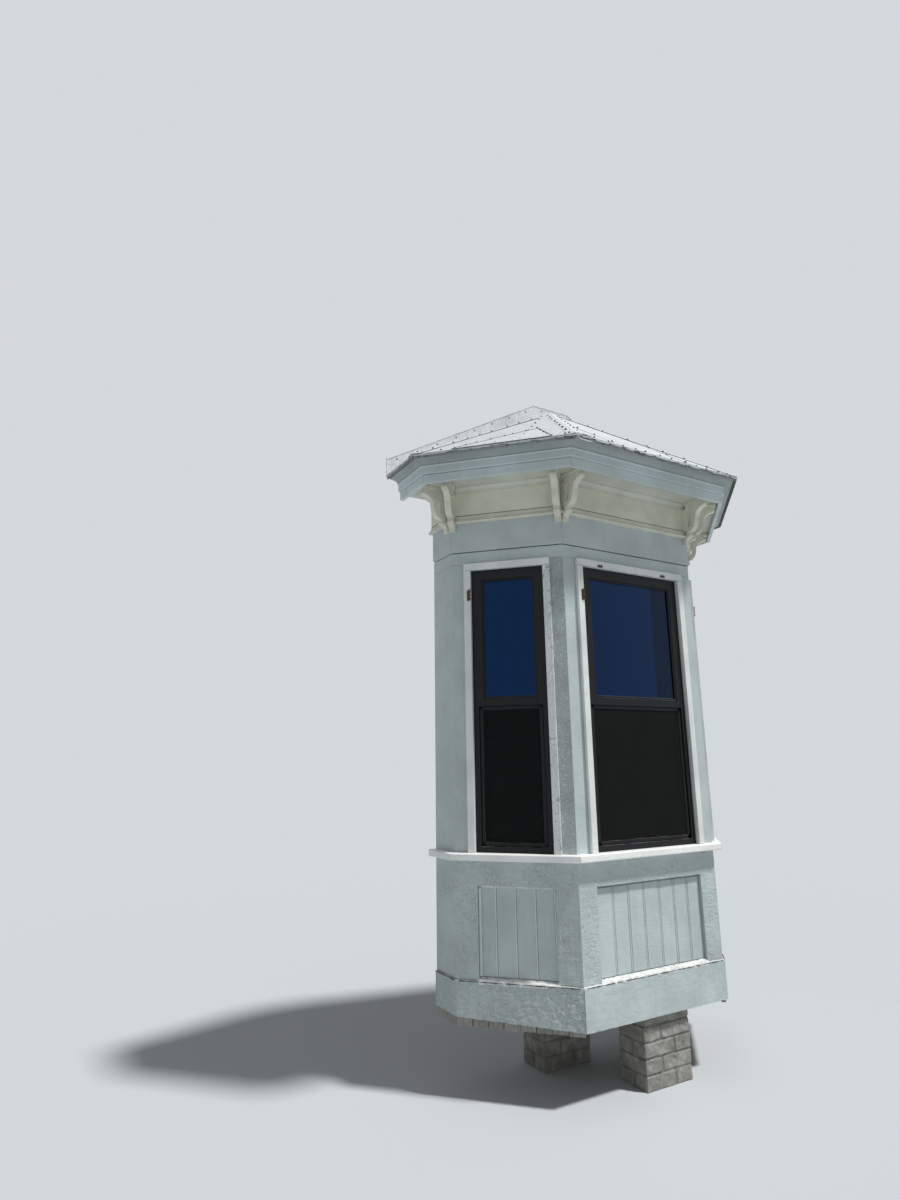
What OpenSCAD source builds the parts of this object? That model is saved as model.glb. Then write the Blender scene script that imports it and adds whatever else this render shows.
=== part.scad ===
// Canted bay window with a metal hip roof, scroll brackets and panelled knee wall.
// Millimetres, +Z up, the room side towards +Y. The origin is on the ground, under the middle
// of the plan; the plane where the bay meets its house wall is at y = wall_y.

/* [Plan] */
// Width of the front face
front_w = 1040; // [850:10:1500]
// Sideways run of each canted face
cant_x = 470; // [420:10:700]
// Outward run of each canted face
cant_y = 480; // [420:10:700]
// Depth of each return, square to the house wall
return_d = 220; // [140:10:400]
// Thickness of the framed walls
wall_t = 110; // [90:5:150]

/* [Base] */
// Height of the brick piers
pier_h = 390; // [300:5:900]
// Width of a pier along the house wall
pier_w = 340; // [280:10:440]
// Depth of a pier, out from the house wall
pier_d = 203; // [180:1:260]
// Front pier to the right of the middle
front_pier_x = 60; // [0:5:90]
// Rear pier to the left of the middle
rear_pier_x = 250; // [0:5:300]
// Front pier set back behind the front wall
front_pier_set = 20; // [0:5:60]
// Depth of the floor frame
frame_h = 160; // [130:5:240]
// Width of each timber in the floor frame
timber_w = 60; // [45:5:80]
// Side timbers showing below the skirt
side_drop = 50; // [20:5:90]
// Thickness of the floor boards
floor_t = 25; // [18:1:35]

/* [Knee wall] */
// Floor to the underside of the sill course
knee_h = 602; // [480:2:760]
// Panel top below the sill course
panel_drop = 132; // [90:2:170]
// Panel side to the end of its wall face
panel_margin = 124; // [95:1:140]
// Depth of a panel recess
recess_d = 30; // [24:1:40]
// Thickness of the boards in a panel
panel_t = 10; // [8:1:14]
// Fall of the worn ledge under each panel
ledge_fall = 14; // [8:1:20]
// Fall of the skirt's top edge
skirt_fall = 8; // [4:1:12]
// Skirt boards standing out from the wall
skirt_t = 12; // [8:1:22]
// Height of the sill course
sill_h = 38; // [30:1:50]
// Eased edges of the sill course
nosing = 5; // [2:1:10]
// Sill course standing out from the wall
sill_out = 50; // [36:1:70]

/* [Windows] */
// Height of the three window openings
window_h = 1606; // [1300:1:1800]
// Window opening to the end of a canted face
side_margin = 120; // [100:1:140]
// Window opening to the end of the front face
front_margin = 130; // [120:1:180]
// Width of the casing boards
casing_w = 42; // [34:1:60]
// Thickness of the casing boards
casing_t = 22; // [16:1:30]
// Window unit set back from the wall face
unit_set = 6; // [2:1:15]
// Depth of the window unit
unit_d = 76; // [70:1:80]
// Face width of the outer frame
jamb_w = 32; // [26:1:40]
// Face width of the stiles and rails
stile_w = 30; // [24:1:38]
// Height of the rail where the sashes meet
meeting_h = 44; // [36:1:56]
// Share of the opening below the meeting rail
split = 0.51; // [0.4:0.01:0.6]
// Thickness of each sash
sash_t = 30; // [24:1:32]
// Thickness of the glass
glass_t = 6; // [5:1:8]

/* [Head and eaves] */
// Window head to the lap of the head boards
lap_h = 120; // [90:1:140]
// Window head to the foot of the frieze
head_h = 298; // [270:1:360]
// Head boards standing out from the wall
head_t = 8; // [6:1:14]
// Height of the frieze, foot to soffit
frieze_h = 232; // [190:2:280]
// Frieze board standing out from the wall
frieze_t = 18; // [14:1:26]
// Height of the moulding at the foot of the frieze
mould_h = 40; // [32:1:50]
// Moulding standing out from the frieze
mould_out = 22; // [16:1:30]
// Height of the bed moulding under the soffit
bed_h = 38; // [30:1:46]
// Bed moulding standing out from the frieze
bed_out = 32; // [26:1:38]
// Foot and top edge of the bed moulding
bed_foot = 8; // [5:1:9]
// Thickness of the soffit boards
soffit_t = 12; // [10:1:18]
// Eaves overhang, wall face to roof edge
eave_o = 340; // [310:5:400]
// Soffit up to the roof edge
eave_h = 108; // [95:1:140]
// Fascia hanging below the soffit
fascia_drop = 34; // [20:1:50]
// Height of each of the two fascia boards
fascia_h = 52; // [45:1:56]
// Thickness of the lower fascia board
fascia_t = 24; // [18:1:30]
// Upper fascia board standing out from the lower
fascia_step = 13; // [8:1:20]
// Crown moulding standing out from the fascia
crown_out = 55; // [40:1:62]
// Height of the crown's cove
crown_h = 22; // [16:1:26]
// Roof edge standing past the crown
crown_gap = 24; // [12:1:30]

/* [Brackets] */
// Thickness of a bracket
bracket_t = 40; // [30:1:50]
// Side of a bracket to the corner of the frieze
pair_gap = 1; // [0.5:0.5:3]
// Thickness of the cap plate over a bracket
plate_t = 18; // [12:1:24]
// Cap plate wider than the bracket on each side
plate_side = 9; // [6:1:14]
// Cap plate stopping short of the fascia
plate_gap = 6; // [3:1:12]
// Cap plate running out past the tip of the scroll
plate_out = 12; // [6:1:18]
// Soffit down to the tip of the scroll
tip_drop = 56; // [48:1:62]
// Height of the lip at the tip of the scroll
lip_h = 16; // [12:1:20]
// Lip standing out from the board above it
lip_out = 12; // [8:1:16]
// Reach of the upright middle of the scroll
scroll_mid = 124; // [114:1:134]
// Width of the scroll at its middle
scroll_w = 30; // [24:1:34]
// Height of the hollow over the middle of the scroll
hollow_h = 70; // [60:1:80]
// Height of the swell under the middle of the scroll
swell_h = 74; // [64:1:84]
// Depth of the back leg of a bracket
leg_d = 60; // [56:1:64]
// Tip of the scroll down to the opening behind it
hole_drop = 16; // [12:1:20]
// Reach of the block under the scroll
block_r = 66; // [60:1:72]
// Height of the block from the scroll to the bead
block_h = 17; // [12:1:22]
// Radius of the bead under the block
bead_r = 7; // [5:1:9]
// Height of the cove under the bead
cove_h = 33; // [26:1:40]
// Reach of the foot of a bracket
foot_r = 34; // [30:1:38]
// Height of the upright foot
foot_h = 16; // [10:1:22]

/* [Roof] */
// Rise of the roof from its edge to its peak
roof_rise = 760; // [550:10:900]
// Roof metal running out past the roof boards
metal_out = 8; // [4:1:20]
// Thickness of the roof boards
deck_t = 22; // [18:1:30]
// Thickness of the roof metal, with its seams
metal_t = 4; // [3:0.5:6]
// Side of the patch sheet to the left eaves corner
patch_in = 205; // [150:5:260]
// Width of the patch sheet along the eaves
patch_w = 365; // [250:5:420]
// Length of the patch sheet up the slope
patch_l = 300; // [200:5:400]
// Width of a hip cap
cap_w = 90; // [60:5:130]
// Height of the flashing on the house wall
flash_h = 118; // [80:2:160]
// Flashing standing above the peak
peak_lap = 30; // [15:5:60]
// Thickness of the flashing
flash_t = 4; // [3:0.5:6]
// Thickness of the board closing the roof at the house wall
header_t = 40; // [30:1:60]
// Closing board hanging below the ceiling
header_drop = 60; // [40:5:90]
// Window head to the ceiling
ceiling_lift = 345; // [320:5:380]
// Thickness of the ceiling boards
ceiling_t = 20; // [15:1:25]

/* [Piece] */
// Piece to draw

/* [Hidden] */

cant_a = atan2(cant_x, cant_y);
half_w = front_w / 2 + cant_x;
proj_d = return_d + cant_y;
wall_y = (proj_d + eave_o) / 2;
cant_len = norm([cant_x, cant_y]);
floor_z = pier_h + frame_h + floor_t;
sill_z = floor_z + knee_h;
panel_z = sill_z - panel_drop;
win_z = sill_z + sill_h;
win_top = win_z + window_h;
lap_z = win_top + lap_h;
frieze_z = win_top + head_h;
soffit_z = frieze_z + frieze_h;
eave_z = soffit_z + eave_h;
apex_z = eave_z + roof_rise;
ceiling_z = win_top + ceiling_lift;
fascia_z = soffit_z - fascia_drop;
step_out = eave_o - crown_gap - crown_out - fascia_step / 2;
board_out = step_out - fascia_step;
fascia_in = board_out - fascia_t;
plate_r = fascia_in - plate_gap;
scroll_r = plate_r - plate_out;
scroll_z = tip_drop + hollow_h;
block_z = scroll_z + swell_h;
bead_z = block_z + block_h + bead_r;
bracket_h = bead_z + bead_r + cove_h + foot_h;
meet_z = win_z + window_h * split;
unit_y = unit_set;
past = 20;
far = 9000;
$fn = 48;

blue = [0.62, 0.68, 0.7];
cream = [0.87, 0.86, 0.8];
black = [0.05, 0.05, 0.06];
timber = [0.5, 0.47, 0.42];
metal = [0.72, 0.75, 0.76];
brick = [0.6, 0.56, 0.5];
glass = [0.1, 0.13, 0.18, 0.5];

// Corner k of the plan, 0 to 5 from left to right, with the outline moved out by o
function corner(k, o) =
    k == 0 ? [-(half_w + o), wall_y] :
    k == 1 ? [-(half_w + o), wall_y - return_d - o * tan(cant_a / 2)] :
    k == 2 ? [-(front_w / 2 + o * tan((90 - cant_a) / 2)), wall_y - proj_d - o] :
    [-corner(5 - k, o)[0], corner(5 - k, o)[1]];

function outline(o) = [for (k = [0:5]) corner(k, o)];

// The same outline run on past the house wall, for cutting open backs
function outline_past(o) = [for (k = [0:5]) corner(k, o) + [0, k % 5 == 0 ? past : 0]];

// Direction of face k, and of its outward normal
function face_a(k) = let (d = corner(k + 1, 0) - corner(k, 0)) atan2(d[1], d[0]);
function normal_a(k) = face_a(k) - 90;
function face_len(k) = norm(corner(k + 1, 0) - corner(k, 0));
function turn_a(k) = normal_a(k) - normal_a(k - 1);
function window_margin(k) = k == 2 ? front_margin : side_margin;
function window_w(k) = face_len(k) - 2 * window_margin(k);

// Level distance from the peak to the roof edge of face k, and the pitch there
function eave_run(k) = (corner(k, eave_o) - [0, wall_y]) * [cos(normal_a(k)), sin(normal_a(k))];
function pitch(k) = atan(roof_rise / eave_run(k));

module slab(o, z0, z1)
    translate([0, 0, z0])
    linear_extrude(z1 - z0)
    polygon(outline(o));

// The same slab run on past the house wall, for cutting
module slab_past(o, z0, z1)
    translate([0, 0, z0])
    linear_extrude(z1 - z0)
    polygon(outline_past(o));

module ring(o0, o1, z0, z1)
    translate([0, 0, z0])
    linear_extrude(z1 - z0)
    difference() {
        polygon(outline(o1));
        polygon(outline_past(o0));
    }

// The mitred strip of plan that belongs to face k, between offsets o0 and o1
module strip(k, o0, o1, z0, z1)
    translate([0, 0, z0])
    linear_extrude(z1 - z0)
    polygon([corner(k, o0), corner(k + 1, o0), corner(k + 1, o1), corner(k, o1)]);

// Face k as a drawing plane: X along the wall, -Y outwards
module on_face(k)
    translate([corner(k, 0)[0], corner(k, 0)[1], 0])
    rotate([0, 0, face_a(k)])
    children();

// Everything on the room side of one profile of [offset, height] points, carried round the
// five faces so that they meet in mitres
module inside(profile)
    intersection_for (k = [0:4])
        on_face(k)
        translate([-far, 0, 0])
        rotate([90, 0, 90])
        linear_extrude(2 * far)
        polygon(concat([for (p = profile) [-p[0], p[1]]],
            [[far, profile[len(profile) - 1][1]], [far, profile[0][1]]]));

// A course with that profile outside, an upright back at offset o, and an end at the house wall
module course(profile, o) {
    low = profile[0][1];
    high = profile[len(profile) - 1][1];
    intersection() {
        difference() {
            inside(profile);
            translate([0, 0, low - past])
            linear_extrude(high - low + 2 * past)
            polygon(outline_past(o));
        }
        translate([-far, wall_y - far, low - past])
        cube([2 * far, far, high - low + 2 * past]);
    }
}

// Everything below all five roof slopes, with the slopes lifted squarely by lift
module below_slopes(lift)
    intersection_for (k = [0:4])
        translate([0, wall_y, apex_z])
        rotate([0, 0, normal_a(k)])
        rotate([0, pitch(k), 0])
        translate([-far, -far, lift - far])
        cube([2 * far, 2 * far, far]);

// A skin of the roof between two lifts, over the plan given as children
module roof_skin(low, high)
    difference() {
        intersection() {
            translate([0, 0, eave_z - 150])
            linear_extrude(roof_rise + 300)
            children();
            below_slopes(high);
        }
        below_slopes(low);
    }

module wall(k)
    color(blue)
    intersection() {
        difference() {
            strip(k, -wall_t, 0, floor_z, apex_z);
            if (k > 0 && k < 4) {
                on_face(k)
                translate([window_margin(k), -past, win_z])
                cube([window_w(k), wall_t + 2 * past, window_h]);
                on_face(k)
                panel_recess(k);
            }
        }
        below_slopes(-deck_t);
    }

// A recess with a ledge falling outwards along its foot
module panel_recess(k)
    translate([panel_margin, 0, 0])
    rotate([90, 0, 90])
    linear_extrude(face_len(k) - 2 * panel_margin)
    polygon([[-past, floor_z - ledge_fall * past / recess_d], [recess_d, floor_z + ledge_fall],
        [recess_d, panel_z], [-past, panel_z]]);

module panel(k)
    color(blue)
    on_face(k)
    translate([panel_margin, recess_d - panel_t, floor_z + ledge_fall])
    cube([face_len(k) - 2 * panel_margin, panel_t, panel_z - floor_z - ledge_fall]);

module casing(k)
    color(cream)
    on_face(k)
    translate([window_margin(k), -casing_t, win_z])
    difference() {
        translate([-casing_w, 0, 0])
        cube([window_w(k) + 2 * casing_w, casing_t, window_h + casing_w]);
        translate([0, -1, -1])
        cube([window_w(k), casing_t + 2, window_h + 1]);
    }

// The outer frame holds the upper light; the lower opening is for the sliding sash
module window_frame(k)
    color(black)
    on_face(k)
    translate([window_margin(k), unit_y, win_z])
    difference() {
        cube([window_w(k), unit_d, window_h]);
        translate([jamb_w, -1, jamb_w])
        cube([window_w(k) - 2 * jamb_w, unit_d + 2, meet_z - win_z - meeting_h / 2 - jamb_w]);
        translate([jamb_w + stile_w, -1, meet_z - win_z + meeting_h / 2])
        cube([window_w(k) - 2 * (jamb_w + stile_w), unit_d + 2,
            win_top - meet_z - meeting_h / 2 - jamb_w - stile_w]);
        translate([jamb_w, sash_t, jamb_w])
        cube([window_w(k) - 2 * jamb_w, unit_d, window_h - 2 * jamb_w]);
    }

module lower_sash(k)
    color(black)
    on_face(k)
    translate([window_margin(k) + jamb_w, unit_y + sash_t, win_z + jamb_w])
    difference() {
        cube([window_w(k) - 2 * jamb_w, sash_t, meet_z - win_z + meeting_h / 2 - jamb_w]);
        translate([stile_w, -1, stile_w])
        cube([window_w(k) - 2 * (jamb_w + stile_w), sash_t + 2,
            meet_z - win_z - meeting_h / 2 - jamb_w - stile_w]);
    }

module upper_glass(k)
    color(glass)
    on_face(k)
    translate([window_margin(k) + jamb_w + stile_w, unit_y + sash_t / 2 - glass_t / 2,
        meet_z + meeting_h / 2])
    cube([window_w(k) - 2 * (jamb_w + stile_w), glass_t,
        win_top - meet_z - meeting_h / 2 - jamb_w - stile_w]);

module lower_glass(k)
    color(glass)
    on_face(k)
    translate([window_margin(k) + jamb_w + stile_w, unit_y + 1.5 * sash_t - glass_t / 2,
        win_z + jamb_w + stile_w])
    cube([window_w(k) - 2 * (jamb_w + stile_w), glass_t,
        meet_z - win_z - meeting_h / 2 - jamb_w - stile_w]);

module pier(x, y)
    color(brick)
    translate([x - pier_w / 2, wall_y - y, 0])
    cube([pier_w, pier_d, pier_h]);

module front_pier() pier(front_pier_x, proj_d - front_pier_set);
module rear_pier() pier(-rear_pier_x, pier_d);

module floor_frame()
    color(timber)
    union() {
        ring(-timber_w, 0, pier_h, pier_h + frame_h);
        translate([-half_w, wall_y - timber_w, pier_h])
        cube([2 * half_w, timber_w, frame_h]);
        for (x = [-front_w / 3, 0, front_w / 3])
            translate([x - timber_w / 2, wall_y - proj_d + timber_w / 2, pier_h])
            cube([timber_w, proj_d - timber_w, frame_h]);
        for (k = [0, 1, 3, 4])
            strip(k, -timber_w / 2, 0, pier_h - side_drop, pier_h + 1);
    }

module floor_boards()
    color(timber)
    slab(0, pier_h + frame_h, floor_z);

module skirt()
    color(blue)
    course([[skirt_t, pier_h], [skirt_t, floor_z - skirt_fall], [0, floor_z]], 0);

module sill_course()
    color(cream)
    course([[sill_out - nosing, sill_z], [sill_out, sill_z + nosing], [sill_out, win_z - nosing],
        [sill_out - nosing, win_z]], 0);

module head_boards()
    color(blue)
    course([[0, lap_z], [head_t, lap_z + head_t / 2], [head_t, frieze_z]], 0);

module frieze_boards()
    color(cream)
    ring(0, frieze_t, frieze_z, soffit_z);

// A round bead with a cove above it, ending in a thin top edge
module frieze_moulding() {
    bead = 0.15 * mould_h;
    cove = 0.3 * mould_h;
    tip = frieze_t + mould_out;
    color(cream)
    course(concat([[tip - bead, frieze_z]],
        [for (a = [-60:30:60]) [tip - bead + bead * cos(a), frieze_z + bead + bead * sin(a)]],
        [[tip - bead, frieze_z + 2 * bead]],
        [for (a = [0:15:90]) [tip - bead - cove * (1 - cos(a)), frieze_z + 2 * bead + 1 + cove * sin(a)]],
        [[tip - bead - cove, frieze_z + mould_h]]),
        frieze_t);
}

// Soffit boards with the bed moulding in their inner angle
module soffit() {
    foot = frieze_t + bed_foot;
    cove = bed_out - bed_foot - bed_foot / 2;
    color(cream)
    difference() {
        course(concat([[foot, soffit_z - bed_h]],
            [for (a = [0:15:90])
                [foot + cove * (1 - cos(a)), soffit_z - bed_h + bed_foot + (bed_h - 2 * bed_foot) * sin(a)]],
            [[frieze_t + bed_out, soffit_z - bed_foot], [frieze_t + bed_out, soffit_z],
            [fascia_in, soffit_z], [fascia_in, soffit_z + soffit_t]]), 0);
        slab_past(frieze_t, soffit_z - bed_h - past, soffit_z);
    }
}

// Two fascia boards and a coved crown, cut to the underside of the roof boards
module cornice() {
    step_z = fascia_z + fascia_h;
    crown_z = step_z + fascia_h;
    crown_in = eave_o - crown_gap - crown_out;
    color(blue)
    intersection() {
        course(concat([[board_out, fascia_z], [board_out, step_z],
            [step_out, step_z + 4], [step_out, crown_z - 8], [crown_in, crown_z - 4]],
            [for (a = [0:15:90]) [crown_in + (crown_out - 5) * (1 - cos(a)), crown_z + crown_h * sin(a)]],
            [[eave_o - crown_gap, eave_z - 10], [eave_o - crown_gap, eave_z + 20]],
            [[fascia_in, eave_z + 200]]),
            fascia_in);
        below_slopes(-deck_t);
    }
}

// A quarter of an oval that is upright at [x0, z0] and level at [x1, z1]
function quarter(x0, z0, x1, z1, first = 0) =
    [for (a = [first:15:90]) [x0 + (x1 - x0) * (1 - cos(a)), z0 + (z1 - z0) * sin(a)]];
function reversed(v) = [for (i = [len(v) - 1:-1:0]) v[i]];

// Edge of a scroll bracket from its foot to its tip, as [reach, height over the soffit]
function bracket_edge() = concat(
    [[-past, -bracket_h], [foot_r, -bracket_h]],
    quarter(foot_r, foot_h - bracket_h, block_r, -bead_z - bead_r),
    [for (a = [-60:30:90]) [block_r + bead_r * cos(a), bead_r * sin(a) - bead_z]],
    reversed(quarter(scroll_mid, -scroll_z, block_r, -block_z)),
    quarter(scroll_mid, -scroll_z, scroll_r, -tip_drop, 15),
    [[scroll_r, lip_h - tip_drop], [scroll_r - lip_out, lip_h - tip_drop]],
    [[scroll_r - lip_out, 0], [-past, 0]]);

// Edge of the opening between the back leg and the scroll
function bracket_hole() = concat(
    [[leg_d, -tip_drop - hole_drop]],
    reversed(quarter(scroll_mid - scroll_w, -scroll_z, leg_d, scroll_w - block_z)),
    [[scroll_mid - scroll_w, -tip_drop - hole_drop]]);

// A pierced scroll bracket and its cap plate, with the wall at Y 0 and the soffit at Z 0
module scroll_bracket() {
    rotate([90, 0, -90])
    translate([0, 0, -bracket_t / 2])
    linear_extrude(bracket_t)
    difference() {
        polygon(bracket_edge());
        polygon(bracket_hole());
    }
    translate([-bracket_t / 2 - plate_side, -plate_r, -plate_t])
    cube([bracket_t + 2 * plate_side, plate_r + past, plate_t]);
}

// The pair of brackets at corner k, one on each face, whose cap plates meet
module bracket_pair(k) {
    middle = frieze_t * tan(turn_a(k) / 2) - pair_gap - bracket_t / 2;
    color(cream)
    difference() {
        translate([0, 0, soffit_z]) {
            on_face(k - 1)
            translate([face_len(k - 1) + middle, 0, 0])
            scroll_bracket();
            on_face(k)
            translate([-middle, 0, 0])
            scroll_bracket();
        }
        slab(0, lap_z - past, soffit_z + past);
        slab(head_t, lap_z, frieze_z);
        slab(frieze_t, frieze_z, soffit_z + past);
        slab(frieze_t + mould_out, frieze_z, frieze_z + mould_h);
        slab(frieze_t + bed_out, soffit_z - bed_h, soffit_z + past);
    }
}

module ceiling()
    color(cream)
    difference() {
        slab(-wall_t, ceiling_z, ceiling_z + ceiling_t);
        translate([-half_w, wall_y - header_t, ceiling_z - 1])
        cube([2 * half_w, 2 * header_t, ceiling_t + 2]);
    }

module wall_header()
    color(timber)
    intersection() {
        translate([-(half_w - wall_t), wall_y - header_t, ceiling_z - header_drop])
        cube([2 * (half_w - wall_t), header_t, apex_z]);
        below_slopes(-deck_t);
    }

module roof_boards()
    color(timber)
    roof_skin(-deck_t, 0)
    polygon(outline(eave_o - metal_out));

module roof_metal()
    color(metal)
    roof_skin(0, metal_t)
    polygon(outline(eave_o));

// Plan of the hip to corner k, with X running down it from the peak
module along_hip(k)
    translate([0, wall_y])
    rotate(atan2(corner(k, eave_o)[1] - wall_y, corner(k, eave_o)[0]))
    children();

module hip_caps()
    color(metal)
    roof_skin(metal_t, 2 * metal_t)
    difference() {
        intersection() {
            polygon(outline(eave_o));
            union() {
                for (k = [1:4])
                    along_hip(k)
                    translate([0, -cap_w / 2])
                    square([2 * half_w, cap_w]);
            }
        }
        translate([-far, wall_y - flash_t])
        square([2 * far, far]);
    }

// A later sheet laid over the foot of the left canted slope
module roof_patch()
    color(metal)
    roof_skin(metal_t, 2 * metal_t)
    difference() {
        translate([corner(1, eave_o)[0], corner(1, eave_o)[1]])
        rotate(face_a(1))
        translate([patch_in, 0])
        square([patch_w, patch_l]);
        along_hip(2)
        translate([0, -cap_w / 2])
        square([2 * half_w, far]);
    }

// Flashing plate on the house wall above the roof, level at its top
module wall_flashing() {
    edge = half_w + eave_o;
    color(metal)
    difference() {
        translate([0, wall_y, 0])
        rotate([90, 0, 0])
        linear_extrude(flash_t)
        polygon([[-edge, eave_z - 10], [-edge, eave_z + flash_h],
            [-edge * flash_in(), apex_z + peak_lap], [edge * flash_in(), apex_z + peak_lap],
            [edge, eave_z + flash_h], [edge, eave_z - 10]]);
        below_slopes(metal_t);
    }
}
function flash_in() = (flash_h - peak_lap) / roof_rise;

front_pier();
rear_pier();
floor_frame();
floor_boards();
wall(0);  // left_return_wall
wall(1);  // left_cant_wall
wall(2);  // front_wall
wall(3);  // right_cant_wall
wall(4);  // right_return_wall
skirt();
panel(1);  // left_panel
panel(2);  // front_panel
panel(3);  // right_panel
sill_course();
casing(1);  // left_casing
casing(2);  // front_casing
casing(3);  // right_casing
window_frame(1);  // left_window_frame
window_frame(2);  // front_window_frame
window_frame(3);  // right_window_frame
lower_sash(1);  // left_lower_sash
lower_sash(2);  // front_lower_sash
lower_sash(3);  // right_lower_sash
upper_glass(1);  // left_upper_glass
upper_glass(2);  // front_upper_glass
upper_glass(3);  // right_upper_glass
lower_glass(1);  // left_lower_glass
lower_glass(2);  // front_lower_glass
lower_glass(3);  // right_lower_glass
head_boards();
frieze_boards();
frieze_moulding();
soffit();
cornice();
bracket_pair(1);  // left_wall_bracket
bracket_pair(2);  // left_front_bracket
bracket_pair(3);  // right_front_bracket
bracket_pair(4);  // right_wall_bracket
ceiling();
wall_header();
roof_boards();
roof_metal();
hip_caps();
roof_patch();
wall_flashing();
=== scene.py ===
"""A canted bay window on brick piers, with old house paint, black windows and a sheet-metal hip roof."""
import logging
import math
import random
from dataclasses import dataclass, replace
from enum import Enum
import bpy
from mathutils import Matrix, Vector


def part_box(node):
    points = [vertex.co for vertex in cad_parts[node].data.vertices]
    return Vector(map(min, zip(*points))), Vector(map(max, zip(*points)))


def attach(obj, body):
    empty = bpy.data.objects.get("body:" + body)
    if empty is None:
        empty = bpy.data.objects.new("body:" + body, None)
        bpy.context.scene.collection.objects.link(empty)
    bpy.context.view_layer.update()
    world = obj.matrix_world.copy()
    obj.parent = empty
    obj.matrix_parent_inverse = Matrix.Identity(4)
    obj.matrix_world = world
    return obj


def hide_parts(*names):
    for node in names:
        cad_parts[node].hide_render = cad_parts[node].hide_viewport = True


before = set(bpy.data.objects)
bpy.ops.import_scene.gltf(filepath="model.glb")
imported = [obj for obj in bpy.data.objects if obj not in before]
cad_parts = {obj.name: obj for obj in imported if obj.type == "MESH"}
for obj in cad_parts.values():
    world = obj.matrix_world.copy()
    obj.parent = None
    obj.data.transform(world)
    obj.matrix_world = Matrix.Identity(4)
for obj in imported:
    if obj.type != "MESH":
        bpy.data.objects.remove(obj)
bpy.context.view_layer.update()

from types import SimpleNamespace
from typing import Callable, ClassVar, Iterable, Sequence, Union

import bmesh
import bpy
from mathutils import Matrix, Vector, noise

Triple = tuple[float, float, float]
Colour = Triple
Input = Union["Value", float, Triple]

BODY = "root"
BOARD_MAP = "board"
TONE = "tone"
WALL_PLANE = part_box("left_return_wall")[1].y
UP = Vector((0.0, 0.0, 1.0))
AXES = (Vector((1.0, 0.0, 0.0)), Vector((0.0, 1.0, 0.0)), UP)
LOG = logging.getLogger("bay_window")


class Slot(Enum):
    """The record's material slots that pieces of this scene stand for."""

    BRICK = "brick"
    TIMBER = "timber"
    BLUE = "blue_paint"
    CREAM = "cream_paint"
    BLACK = "black_frame"
    METAL = "roof_metal"


class Grain(Enum):
    """The way that brush marks and wood grain run on a board."""

    ALONG = (0.06, 1.0, 1.0)
    UPRIGHT = (1.0, 0.06, 1.0)


def make_object(name: str, data: bpy.types.ID) -> bpy.types.Object:
    """Makes an object and puts it in the scene."""
    made = bpy.data.objects.new(name, data)
    bpy.context.scene.collection.objects.link(made)
    return made


def shade(colour: Colour, factor: float) -> Colour:
    """A colour made darker or lighter."""
    return tuple(min(1.0, part * factor) for part in colour)


# Node trees


class Value:
    """A socket of a node tree, from which sums, ramps and mixes make further nodes."""

    def __init__(self, graph: "Graph", socket: bpy.types.NodeSocket) -> None:
        """Remembers the tree and the socket."""
        self.graph = graph
        self.socket = socket

    def __add__(self, other: Input) -> "Value":
        """The sum."""
        return self.graph.maths("ADD", self, other)

    def __sub__(self, other: Input) -> "Value":
        """The difference."""
        return self.graph.maths("SUBTRACT", self, other)

    def __rsub__(self, other: Input) -> "Value":
        """What is left of a number."""
        return self.graph.maths("SUBTRACT", other, self)

    def __mul__(self, other: Input) -> "Value":
        """The product."""
        return self.graph.maths("MULTIPLY", self, other)

    def scaled(self, factors: Input) -> "Value":
        """A vector whose three parts are multiplied, each by its own factor."""
        return self.graph.add("VectorMath", 0, {0: self, 1: factors}, operation="MULTIPLY")

    def moved(self, shift: Input) -> "Value":
        """A vector moved by another."""
        return self.graph.add("VectorMath", 0, {0: self, 1: shift}, operation="ADD")

    def ramp(self, low: float, high: float, to_low: float = 0.0, to_high: float = 1.0) -> "Value":
        """A smooth step from one range to another."""
        inputs = {"Value": self, "From Min": low, "From Max": high, "To Min": to_low, "To Max": to_high}
        return self.graph.add("MapRange", "Result", inputs, interpolation_type="SMOOTHSTEP")

    def pick(self, first: Input, second: Input) -> "Value":
        """A colour between two, nearer to the second where this share is high."""
        return self.graph.blend(self, first, second)


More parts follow.
